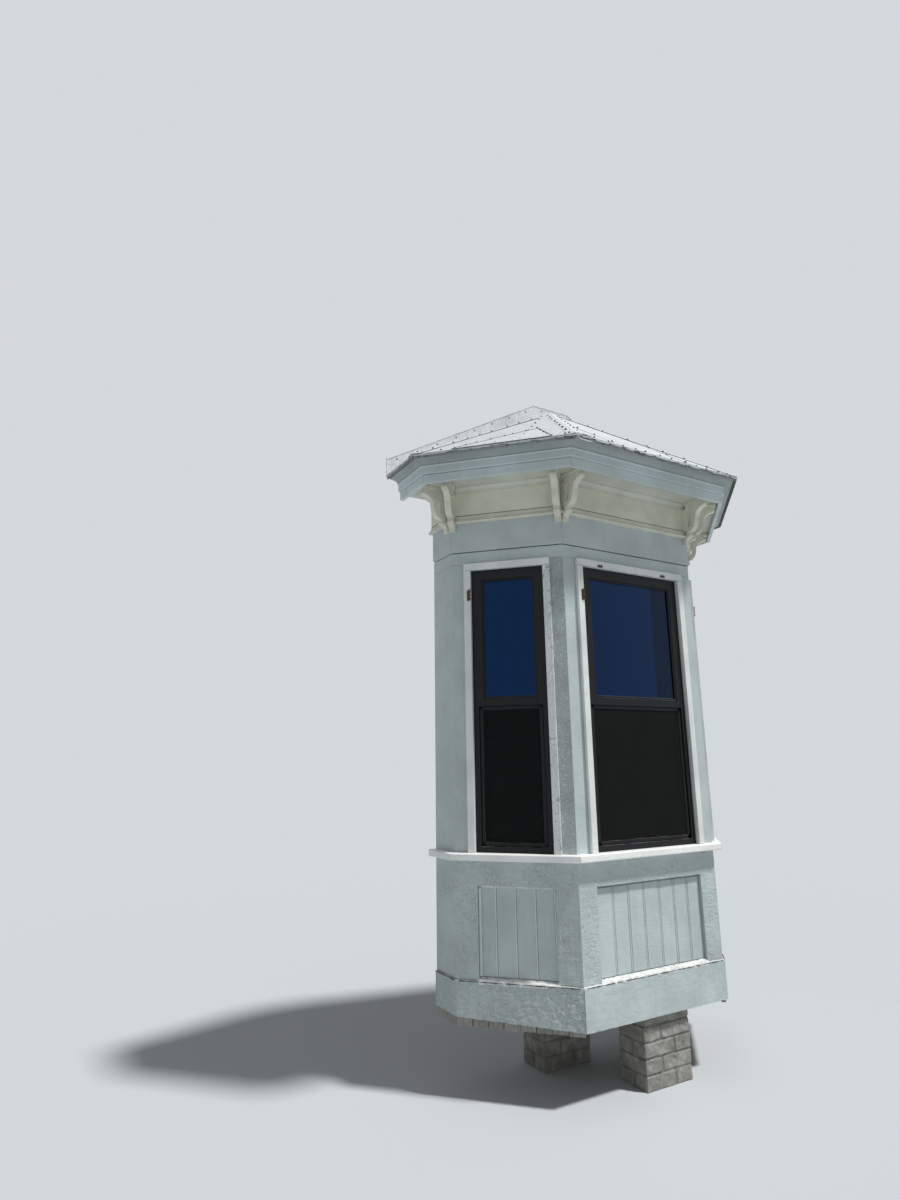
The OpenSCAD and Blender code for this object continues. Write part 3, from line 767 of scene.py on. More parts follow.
class Form:
    """A shape being made with mesh operators, in metres."""

    def __init__(self, mesh: bpy.types.Mesh | None = None) -> None:
        """Starts with nothing in it, or with a copy of a mesh."""
        self.bm = bmesh.new()
        if mesh is not None:
            self.bm.from_mesh(mesh)
        if self.bm.faces.layers.float.get(TONE) is None:
            self.bm.faces.layers.float.new(TONE)

    @classmethod
    def from_node(cls, node: str, tone: float = 0.5) -> "Form":
        """Takes a merged copy of a CAD node's shape, still in triangles and all in one tone."""
        form = cls(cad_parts[node].data)
        bmesh.ops.remove_doubles(form.bm, verts=form.bm.verts, dist=0.00002)
        form.paint(form.bm.faces, 0, tone)
        return form

    @classmethod
    def boards(cls, node: str, way: Vector, width: float, gap: float = 0.001, ease: float = 0.0015) -> "Form":
        """Cuts a copy of a CAD node into boards that lie side by side.

        Args:
            node: the node's name.
            way: the way across the boards.
            width: about how wide a board is.
            gap: the open joint between two boards.
            ease: easing of their edges.

        Returns:
            All the boards.
        """
        rng = random.Random(node)
        result = cls()
        low, high = reach(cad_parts[node].data.vertices, way)
        count = max(1, round((high - low) / width))
        step = (high - low) / count
        for i in range(count):
            board = cls.from_node(node, rng.random())
            board.keep(way * (low + (i + 1) * step - gap / 2), way)
            board.keep(way * (low + i * step + gap / 2), -way)
            result.join(board.ease(ease))
        return result

    def paint(self, faces: Iterable[bmesh.types.BMFace], finish: int, tone: float) -> None:
        """Makes faces flat, and gives them a finish, by its number on the piece, and a tone."""
        tones = self.bm.faces.layers.float[TONE]
        for face in faces:
            face.material_index = finish
            face.smooth = False
            face[tones] = tone

    def bevel(self, edges: Iterable[bmesh.types.BMEdge], width: float) -> None:
        """Rounds some edges."""
        bmesh.ops.bevel(self.bm, geom=list(edges), offset=width, offset_type="OFFSET", affect="EDGES",
                        segments=2, profile=0.5, material=-1, clamp_overlap=True)

    def block(self, low: Sequence[float], high: Sequence[float], ease: float = 0.0,
              place: Matrix | None = None, tone: float = 0.5, finish: int = 0) -> "Form":
        """Adds a board, brick or bar with eased edges.

        Args:
            low: its lowest corner, in its own space.
            high: its highest corner.
            ease: width of the easing on its edges.
            place: where its own space lies in the frame.
            tone: its tone, 0 to 1.
            finish: the number of its finish on the piece.

        Returns:
            The same form.
        """
        size = Vector(high) - Vector(low)
        middle = (Vector(high) + Vector(low)) / 2
        matrix = (place or Matrix.Identity(4)) @ Matrix.Translation(middle) @ Matrix.Diagonal((*size, 1.0))
        verts = bmesh.ops.create_cube(self.bm, size=1.0, matrix=matrix)["verts"]
        self.paint({face for vert in verts for face in vert.link_faces}, finish, tone)
        if ease > 0.0:
            self.bevel({edge for vert in verts for edge in vert.link_edges}, ease)
        return self

    def bar(self, start: Vector, end: Vector, width: float, thickness: float, ease: float = 0.0,
            finish: int = 0) -> None:
        """Adds a straight flat bar between two points, with its width upright."""
        way = end - start
        matrix = Matrix.Translation(start) @ way.to_track_quat("X", "Z").to_matrix().to_4x4()
        self.block((0.0, -thickness / 2, -width / 2), (way.length, thickness / 2, width / 2), ease, matrix,
                   finish=finish)

    def rod(self, start: Vector, end: Vector, radius: float, sides: int = 8, tone: float = 0.5,
            finish: int = 0, tip: float | None = None) -> None:
        """Adds a round bar, or a cone with another radius at its tip, between two points."""
        way = end - start
        matrix = Matrix.Translation(start + way / 2) @ way.to_track_quat("Z", "Y").to_matrix().to_4x4()
        verts = bmesh.ops.create_cone(self.bm, cap_ends=True, segments=sides, radius1=radius,
                                      radius2=radius if tip is None else tip, depth=way.length,
                                      matrix=matrix)["verts"]
        self.paint({face for vert in verts for face in vert.link_faces}, finish, tone)

    def nail(self, point: Vector, normal: Vector, radius: float, finish: int = 0, rise: float = 0.45) -> None:
        """Adds a domed nail head on a surface."""
        up = normal.normalized()
        self.rod(point - up * radius * 0.2, point + up * radius * rise, radius, finish=finish,
                 tip=radius * 0.55)

    def to_mesh(self) -> bpy.types.Mesh:
        """Gives the form up as a mesh."""
        mesh = bpy.data.meshes.new("part")
        self.bm.to_mesh(mesh)
        self.bm.free()
        return mesh

    def join(self, other: "Form") -> "Form":
        """Adds another form's shape to this one, and frees the other."""
        mesh = other.to_mesh()
        self.bm.from_mesh(mesh)
        bpy.data.meshes.remove(mesh)
        return self

    def cut(self, point: Vector, normal: Vector, dist: float = 0.000001,
            clear: bool = False) -> list[bmesh.types.BMEdge]:
        """Draws the line where a plane meets the faces, and may clear what lies beyond the plane."""
        geometry = [*self.bm.verts, *self.bm.edges, *self.bm.faces]
        made = bmesh.ops.bisect_plane(self.bm, geom=geometry, dist=dist, plane_co=point, plane_no=normal,
                                      clear_outer=clear)
        return [item for item in made["geom_cut"] if isinstance(item, bmesh.types.BMEdge)]

    def keep(self, point: Vector, normal: Vector) -> "Form":
        """Cuts away what lies beyond a plane, on the side that its normal points to, and closes the cut."""
        edges = [edge for edge in self.cut(point, normal, clear=True) if edge.is_boundary]
        if edges:
            bmesh.ops.triangle_fill(self.bm, edges=edges, use_beauty=True, normal=normal)
        return self

    def score(self, way: Vector, start: float, end: float, step: float) -> "Form":
        """Cuts level lines across the faces at even steps, so that they can be bent."""
        count = max(1, round((end - start) / step))
        for i in range(1, count):
            self.cut(way * (start + (end - start) * i / count), way)
        return self

    def squares(self, ways: Sequence[Vector], step: float) -> "Form":
        """Scores the whole form along several ways."""
        for way in ways:
            self.score(way, *reach(self.bm.verts, way), step)
        return self

    def grid(self, *ways: Vector) -> "Form":
        """Draws seams across the faces through all vertices, so that no flat face has a hole in it."""
        for way, places in [(way, {round(vert.co.dot(way), 4) for vert in self.bm.verts}) for way in ways]:
            for place in sorted(places):
                for edge in self.cut(way * place, way, 0.00001):
                    edge.seam = True
        return self

    def hold(self, low: Vector, high: Vector) -> "Form":
        """Brings every vertex that has strayed back into a box."""
        for vert in self.bm.verts:
            vert.co = Vector([min(max(vert.co[i], low[i]), high[i]) for i in range(3)])
        return self

    def ease(self, width: float, angle: float = 40.0, skip: Callable[[Vector], bool] | None = None) -> "Form":
        """Joins the triangles of each flat face, but not across a seam, and rounds the form's edges.

        Args:
            width: width of the rounding.
            angle: the least angle of an edge that is rounded, in degrees.
            skip: says of the middle of an edge that it stays sharp.

        Returns:
            The same form.
        """
        bmesh.ops.dissolve_limit(self.bm, angle_limit=math.radians(0.6), verts=self.bm.verts,
                                 edges=self.bm.edges, delimit={"SEAM"})
        self.bevel([edge for edge in self.bm.edges
                    if edge.is_manifold and edge.calc_face_angle(0.0) > math.radians(angle)
                    and not (skip and skip((edge.verts[0].co + edge.verts[1].co) / 2))], width)
        return self

    def move(self, shift: Callable[[Vector], Vector]) -> "Form":
        """Moves every vertex by what a function says for its place."""
        for vert in self.bm.verts:
            vert.co += shift(vert.co)
        return self

    def roughen(self, depth: float, size: float, seed: float = 0.0) -> "Form":
        """Wears the surface in and out along its normals with noise of that size."""
        self.bm.normal_update()
        shift = Vector((seed, seed * 0.7, -seed))
        moves = [vert.normal * noise.fractal(vert.co / size + shift, 0.8, 2.0, 4) * depth
                 for vert in self.bm.verts]
        for vert, way in zip(self.bm.verts, moves):
            vert.co += way
        return self

    def refinish(self, number: int, test: Callable[[bmesh.types.BMFace], bool] = lambda face: True) -> "Form":
        """Gives all faces, or those that pass a test, another of the piece's finishes."""
        for face in self.bm.faces:
            if test(face):
                face.material_index = number
        return self

    def lay_out(self) -> None:
        """Makes the board map: metres along and across each face, with the length level where it can be."""
        uv = self.bm.loops.layers.uv.get(BOARD_MAP) or self.bm.loops.layers.uv.new(BOARD_MAP)
        self.bm.normal_update()
        for face in self.bm.faces:
            along = UP.cross(face.normal)
            if abs(face.normal.z) >= 0.8:
                longest = max(face.edges, key=lambda edge: edge.calc_length())
                along = longest.verts[1].co - longest.verts[0].co
            along = along.normalized() if along.length > 1e-9 else AXES[0]
            across = face.normal.cross(along)
            for loop in face.loops:
                loop[uv].uv = (loop.vert.co.dot(along), loop.vert.co.dot(across))

    def done(self, name: str, finishes: Sequence[Finish], slot: Slot, replaces: Sequence[str] = ()) -> None:
        """Makes the piece, which rides on the bay.

        Args:
            name: its name.
            finishes: its finishes, in the order of their numbers.
            slot: the record's slot that it stands for; not used.
            replaces: the CAD nodes that it stands for.
        """
        self.lay_out()
        mesh = self.to_mesh()
        mesh.name = name
        for finish in finishes:
            mesh.materials.append(finish.material())
        piece = make_object(name, mesh)
        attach(piece, BODY)
        if replaces:
            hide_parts(*replaces)
        LOG.info("%s: %d faces", name, len(mesh.polygons))


# The plan


@dataclass(frozen=True)
class WallFace:
    """One of the five upright faces of the bay.

    Attributes:
        name: left_return, left_cant, front, right_cant or right_return.
        start: the foot of its left edge, seen from outside.
        end: the foot of its right edge.
    """

    name: str
    start: Vector
    end: Vector

    @property
    def along(self) -> Vector:
        """The level way from left to right, seen from outside."""
        return (self.end - self.start).normalized()

    @property
    def inward(self) -> Vector:
        """The level way into the room."""
        return UP.cross(self.along)

    @property
    def length(self) -> float:
        """Width of the face."""
        return (self.end - self.start).length

    @property
    def left(self) -> float:
        """Where its left edge lies along the face's own way."""
        return self.start.dot(self.along)

    @property
    def front(self) -> float:
        """Where the face lies on the way into the room."""
        return self.start.dot(self.inward)

    @property
    def place(self) -> Matrix:
        """Turns along, inwards and up into the frame's own space."""
        return Matrix.Translation(self.start) @ Matrix((self.along, self.inward, UP)).transposed().to_4x4()

    def score(self, form: Form, step: float, past: float = 0.0) -> Form:
        """Scores a form at even steps along the face, and past both its ends."""
        return form.score(self.along, self.left - past, self.left + self.length + past, step)

    def span(self, node: str) -> tuple[Vector, Vector]:
        """The lowest and highest corners of a CAD node in the face's own space."""
        back = self.place.inverted()
        points = [back @ vert.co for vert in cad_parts[node].data.vertices]
        return tuple(Vector([end(point[i] for point in points) for i in range(3)]) for end in (min, max))


@dataclass(frozen=True)
class BayPlan:
    """The bay's five faces, read from the frame.

    Attributes:
        corners: the six corners of the wall faces, from left to right.
    """

    corners: tuple[Vector, ...]

    NAMES: ClassVar[tuple[str, ...]] = ("left_return", "left_cant", "front", "right_cant", "right_return")

    @classmethod
    def from_frame(cls) -> "BayPlan":
        """Reads the corners from the boxes of the front wall and the left return."""
        front, (low, high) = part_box("front_wall")[0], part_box("left_return_wall")
        left = [Vector((x, y, 0.0)) for x, y in ((low.x, high.y), (low.x, low.y), (front.x, front.y))]
        return cls(tuple(left + [Vector((-point.x, point.y, 0.0)) for point in reversed(left)]))

    @property
    def faces(self) -> list[WallFace]:
        """The five faces, from left to right."""
        return [WallFace(*parts) for parts in zip(self.NAMES, self.corners, self.corners[1:])]

    @property
    def window_faces(self) -> dict[str, WallFace]:
        """The three faces with windows, by the first word of their nodes' names."""
        return dict(zip(("left", "front", "right"), self.faces[1:4]))

    def part(self, node: str, k: int, gap: float, tone: float) -> Form:
        """Cuts from a CAD node that runs round the bay what lies on face k, between its two mitres."""
        board = Form.from_node(node, tone)
        faces = self.faces
        for corner, side in ((k, 1.0), (k + 1, -1.0)):
            if 0 < corner < 5:
                way = (faces[corner - 1].along + faces[corner].along).normalized() * side
                board.keep(self.corners[corner] + way * gap / 2, -way)
        return board

    def courses(self, node: str, gap: float, shape: Callable[[Form, int], object]) -> Form:
        """Cuts a CAD node that runs round the bay into its five boards, with open mitres between them.

        Args:
            node: the node's name.
            gap: width of the open joint.
            shape: what is done to each board before it is joined to the others.

        Returns:
            The five boards.
        """
        result = Form()
        rng = random.Random(node)
        for k in range(5):
            board = self.part(node, k, gap, rng.random())
            shape(board, k)
            result.join(board)
        return result


# Sub-assemblies


@dataclass
class OnPlan:
    """A sub-assembly that is laid out on the bay's plan."""

    plan: BayPlan


@dataclass
class BrickPier:
    """A pier of old brick under worn limewash, with full bricks and headers laid in turn.

    Attributes:
        node: the CAD node that it stands for.
        courses: number of courses.
        joint: width of the mortar joints.
        long_share: share of the pier's width taken by the long bricks of a course.
        worn: depth of the wear on the bricks.
        core: how far the mortar lies behind the bricks' faces.
        collar: whether the top course is rendered over.
    """

    node: str
    courses: int = 5
    joint: float = 0.009
    long_share: float = 0.64
    worn: float = 0.0035
    core: float = 0.006
    collar: bool = False

    def build(self) -> None:
        """Lays the bricks round a core of mortar."""
        low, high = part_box(self.node)
        rng = random.Random(self.node)
        form = Form()
        rise = (high.z - low.z) / self.courses
        middle = (low.y + high.y) / 2
        half = self.joint / 2
        for i in range(self.courses):
            bottom = low.z + i * rise + (half if i else 0.0)
            if self.collar and i == self.courses - 1:
                self.brick(form, rng, (low.x, low.y, bottom), tuple(high))
                continue
            top = low.z + (i + 1) * rise - (half if i < self.courses - 1 else 0.0)
            flip = i % 2 == 1
            cut = low.x + (high.x - low.x) * ((1 - self.long_share) if flip else self.long_share)
            sides = ((low.x, cut - half), (cut + half, high.x))
            long, head = reversed(sides) if flip else sides
            for side, front, back in ((long, low.y, middle - half), (long, middle + half, high.y),
                                      (head, low.y, high.y)):
                self.brick(form, rng, (side[0], front, bottom), (side[1], back, top))
        form.block((low.x + self.core, low.y + self.core, low.z + 0.002),
                   (high.x - self.core, high.y - self.core, high.z - 0.001), finish=1)
        form.done(self.node + "_bricks", (BRICK, MORTAR), Slot.BRICK, (self.node,))

    def brick(self, form: Form, rng: random.Random, low: Triple, high: Triple) -> None:
        """Adds one worn brick, inside its own box."""
        draw = [rng.uniform(0.0, 0.003) for _ in range(4)]
        one = Form().block((low[0] + draw[0], low[1] + draw[1], low[2]),
                           (high[0] - draw[2], high[1] - draw[3], high[2]), 0.006, tone=rng.random())
        for axis, way in enumerate(AXES):
            one.score(way, low[axis], high[axis], 0.026)
        one.roughen(self.worn, 0.03, rng.uniform(0.0, 50.0))
        form.join(one.hold(Vector(low), Vector(high)))


@dataclass
class FloorTimbers(OnPlan):
    """The floor frame, the ends of the boards hanging under the skirt, and the floor boards.

    Attributes:
        end_w: width of the hanging board ends.
        end_t: their thickness.
        board_w: width of the floor boards.
        gap: gap between floor boards.
    """

    end_w: float = 0.088
    end_t: float = 0.028
    board_w: float = 0.083
    gap: float = 0.0015

    def build(self) -> None:
        """Makes the frame, with board ends under all faces but the front, and the floor."""
        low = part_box("floor_frame")[0].z
        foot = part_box("front_pier")[1].z
        form = Form.from_node("floor_frame", 0.4).keep(UP * foot, -UP).ease(0.002)
        rng = random.Random("board ends")
        for face in self.plan.faces:
            if face.name != "front":
                self.board_ends(form, face, rng, low, foot)
        form.done("floor_timbers", (OLD_TIMBER, GREY_BOARDS), Slot.TIMBER, ("floor_frame",))
        self.floor()

    def board_ends(self, form: Form, face: WallFace, rng: random.Random, low: float, high: float) -> None:
        """Hangs a row of short uneven boards along one face, up behind the skirt."""
        count = max(2, round(face.length / self.end_w))
        step = face.length / count
        for i in range(count):
            start = i * step + rng.uniform(0.0, 0.002)
            end = (i + 1) * step - rng.uniform(0.001, 0.003)
            drop = low + rng.uniform(0.0, 0.007)
            front = rng.uniform(0.0, 0.003)
            form.block((start, front, drop), (end, self.end_t, high), 0.0018, face.place, rng.random(), 1)

    def floor(self) -> None:
        """Lays the floor boards along the house wall, cut to the plan."""
        low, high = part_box("floor_boards")
        rng = random.Random("floor boards")
        form = Form()
        count = round((high.y - low.y) / self.board_w)
        step = (high.y - low.y) / count
        for i in range(count):
            form.block((low.x, low.y + i * step, low.z), (high.x, low.y + (i + 1) * step - self.gap, high.z),
                       0.0012, tone=rng.random())
        for face in self.plan.faces:
            form.keep(face.start, -face.inward)
        form.done("floor_boards_laid", (FLOOR_WOOD,), Slot.TIMBER, ("floor_boards",))


@dataclass
class BoardedWalls(OnPlan):
    """The painted walls, with plastered faces towards the room, and their worn ledges.

    Attributes:
        eased: easing of the board edges.
        joint: width of the painted joints.
        slit: width of the open joint under the head boards.
        skin_t: thickness of the outer boards.
        lump_step: size of the squares in which the knee wall is worn.
        groove: width of the grooves beside the bead on each panel board.
        bead_w: width of that bead and its groove.
        top_gap: open gap over the front panel's boards.
        stop_h: height of the stop over the canted panels' boards.
        crust: how far the old paint stands out on the ledges.
        slope: slope of that paint, up to the panel.
    """

    eased: float = 0.004
    joint: float = 0.0012
    slit: float = 0.005
    skin_t: float = 0.018
    lump_step: float = 0.02
    groove: float = 0.0016
    bead_w: float = 0.0125
    top_gap: float = 0.012
    stop_h: float = 0.009
    crust: float = 0.011
    slope: float = 0.4

    def build(self) -> None:
        """Makes the five walls, their panels and ledges."""
        for face in self.plan.faces:
            self.wall(face)
        for side, face in self.plan.window_faces.items():
            self.panel(side, face)
            self.ledge(side, face)

    def wall(self, face: WallFace) -> None:
        """Rounds a wall's edges, cuts it where its boards meet, and wears the knee wall."""
        node = face.name + "_wall"
        back = face.place.inverted()

        def at_corner(middle: Vector) -> bool:
            """True on the edges where two walls meet, which stay sharp."""
            across = (back @ middle).x
            return min(across, face.length - across) < 0.002

        whole = Form.from_node(node).grid(face.along, UP, face.inward)
        mesh = whole.ease(self.eased, 30.0, at_corner).to_mesh()
        sill = sum(corner.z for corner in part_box("sill_course")) / 2
        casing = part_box("front_casing")[1].z
        levels = (-1.0, sill, casing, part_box("head_boards")[0].z - self.slit / 2, 9.0)
        gaps = (0.0, self.joint, self.joint, self.slit, 0.0)
        skin = face.start + face.inward * self.skin_t
        result = Form(mesh).keep(skin, -face.inward)
        for i in range(4):
            part = Form(mesh).keep(skin, face.inward)
            part.keep(UP * (levels[i + 1] - gaps[i + 1] / 2), UP).keep(UP * (levels[i] + gaps[i] / 2), -UP)
            if i == 0:
                self.wear_knee(part.refinish(4), face, random.Random(node).uniform(0.0, 20.0))
            result.join(part)
        bpy.data.meshes.remove(mesh)
        result.bm.normal_update()
        result.refinish(1, lambda part: part.normal.dot(face.inward) > 0.7)
        result.refinish(3, lambda part: part.normal.y > 0.8
                        and part.calc_center_median().y > WALL_PLANE - 0.001)
        if face.name == "left_cant":
            edge = face.span("left_window_frame")[1].x
            result.refinish(2, lambda part: part.normal.dot(face.inward) < 0.7
                            and sill < part.calc_center_median().z < casing
                            and (back @ part.calc_center_median()).x > edge)
        result.done(node + "_boards", (WALL_PAINT, ROOM_PAINT, PEELING_PAINT, CUT_TIMBER, KNEE_PAINT),
                    Slot.BLUE, (node,))

    def wear_knee(self, part: Form, face: WallFace, seed: float) -> None:
        """Gives the knee wall the soft lumps of many coats of paint."""
        low, high = reach(part.bm.verts, UP)
        face.score(part, self.lump_step, 0.1).score(UP, low, high, self.lump_step)
        back = face.place.inverted()

        def lumps(point: Vector) -> Vector:
            """Moves only the outer skin, and less near the corners and the house."""
            place = back @ point
            if place.y > 0.05:
                return Vector()
            inner = min(place.x, face.length - place.x, high - point.z, point.z - low, 0.03) / 0.03
            ripple = noise.fractal(Vector((place.x / 0.09, seed, place.z / 0.022)), 0.8, 2.0, 3)
            swell = noise.fractal(Vector((place.x / 0.07, seed, place.z / 0.2)), 0.8, 2.0, 2)
            return face.inward * (max(0.0, inner) * (0.0012 + 0.0012 * ripple + 0.0016 * swell))

        part.move(lumps)

    def panel(self, side: str, face: WallFace) -> None:
        """Fills a knee-wall recess with upright boards, each with a bead at its left or right edge."""
        node = side + "_panel"
        low, high = face.span(node)
        rng = random.Random(node)
        widths = [rng.uniform(0.9, 1.1) for _ in range(7 if side == "front" else 4)]
        form = Form()
        left = low.x
        for width in widths:
            right = left + (high.x - low.x) * width / sum(widths)
            front = low.y + rng.uniform(0.0, 0.0015)
            if side == "front":
                bead, top = left + self.bead_w, high.z - self.top_gap
                strips = ((left + self.groove, bead, front, 0.0045, 0),
                          (bead + self.groove, right, front, 0.003, 0))
            else:
                # On the canted panels each board's bead takes finish 2, the pale bead paint: a painted
                # highlight, partly worn paint.
                bead, top = right - self.bead_w, high.z
                strips = ((left, bead - 0.0002, front, 0.0008, 0),
                          (bead, right - self.groove * 1.6, front - 0.001, 0.0035, 2))
            tone = rng.random()
            for start, end, face_y, ease, finish in strips:
                form.block((start, face_y, low.z), (end, high.y, top), ease, face.place, tone, finish)
            left = right
        if side != "front":
            self.stops(form, face, low, high)
        form.done(side + "_panel_boards", (PANEL_PAINT, LEDGE_PAINT, BEAD_HIGHLIGHT_PAINT), Slot.BLUE, (node,))

    def stops(self, form: Form, face: WallFace, low: Vector, high: Vector) -> None:
        """Adds the rounded stops at both sides of a canted panel and over its boards."""
        head, back = high.z - self.stop_h, low.y + 0.002
        # The side stops take finish 2 and the top stop finish 1, both pale: a painted highlight, partly worn
        # paint.
        for start, end, out in ((low.x + 0.0005, low.x + 0.017, 0.013),
                                (high.x - 0.0105, high.x - 0.0005, 0.011)):
            form.block((start, low.y - out, low.z), (end, back, head), 0.007, face.place, finish=2)
        form.block((low.x + 0.001, low.y - 0.007, head), (high.x - 0.001, back, high.z - 0.0005), 0.003,
                   face.place, finish=1)

    def ledge(self, side: str, face: WallFace) -> None:
        """Lays a lumpy crust of old paint along the ledge under a panel."""
        low, high = face.span(side + "_panel")
        form = Form().block((low.x - 0.006, -self.crust, low.z - 0.022),
                            (high.x + 0.006, low.y + 0.002, low.z - 0.0025), 0.005)
        form.score(AXES[0], low.x, high.x, 0.009).score(AXES[1], -self.crust, low.y, 0.008)
        form.move(lambda point: UP * ((point.y - low.y) * self.slope)).roughen(0.0045, 0.028, len(side))
        form.bm.transform(face.place)
        form.done(side + "_ledge", (LEDGE_PAINT,), Slot.BLUE)


@dataclass
class WallCourses(OnPlan):
    """The courses that run round the bay: skirt, sill and head boards.

    Attributes:
        mitre_gap: open joint at the corners.
        droop: how much deeper the skirt is across the front.
        square: size of the squares in which the skirt is worn.
    """

    mitre_gap: float = 0.0012
    droop: float = 0.03
    square: float = 0.0095

    def build(self) -> None:
        """Makes the three courses."""
        self.plan.courses("skirt", self.mitre_gap, self.wear_skirt).done(
            "skirt_boards", (SKIRT_PAINT, SMOOTH_SKIRT, JOINT_SHADOW_LINE), Slot.BLUE, ("skirt",))
        self.plan.courses("sill_course", self.mitre_gap, lambda board, k: board.ease(0.0025)).done(
            "sill_boards", (SILL_PAINT,), Slot.CREAM, ("sill_course",))
        self.plan.courses("head_boards", 0.0006, lambda board, k: board.ease(0.0015)).done(
            "head_board_course", (HEAD_SHADE_PAINT,), Slot.BLUE, ("head_boards",))

    def wear_skirt(self, board: Form, k: int) -> None:
        """Scores a skirt board into small squares, wears its face and lower edge, and lays painted shadow on
        its top.
        """
        face = self.plan.faces[k]
        low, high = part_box("skirt")
        face.score(board.ease(0.003), self.square, 0.02).score(UP, low.z, high.z, self.square)
        back = face.place.inverted()
        smooth = 0.3 if k == 2 else 1.0

        def ragged(point: Vector) -> Vector:
            """Cracks the skin into plates that curl, and eats into the lower and the upper edge."""
            up = point.z - low.z
            bite = abs(noise.fractal(point / 0.05, 0.7, 2.2, 4))
            place = back @ point
            spots = noise.voronoi(Vector((place.x / 0.055, k * 7.0, place.z / 0.032)))[0]
            crack = near(spots[1] - spots[0], 0.28)
            lump = noise.fractal(Vector((place.x / 0.045, k * 3.0, place.z / 0.035)), 0.8, 2.1, 3)
            sink = 0.0 if place.y > 0.0 else smooth * (0.0022 * crack + 0.003 * near(0.5 + 0.5 * lump, 1.0))
            deeper = (0.0, place.x / face.length, 1.0, 1.0 - place.x / face.length, 0.0)[k]
            lower = self.droop * deeper * near(up, 0.09)
            rise = bite * (0.008 * smooth * near(up, 0.03) - 0.003 * near(high.z - point.z, 0.02)) - lower
            return UP * rise + face.inward * sink

        board.move(ragged).hold(low - UP * self.droop, high)
        if k == 2:
            board.refinish(1)
        # A dark bar along the skirt's top: painted shadow under the ledge, partly a real crack.
        top, end = high.z - 0.0065, 0.014
        line = Form().block(
            (end, -0.0128, top - 0.0024), (face.length - end, -0.006, top), 0.0, face.place, 0.3, 2)
        board.join(face.score(line, 0.012).roughen(0.0017, 0.02, k))


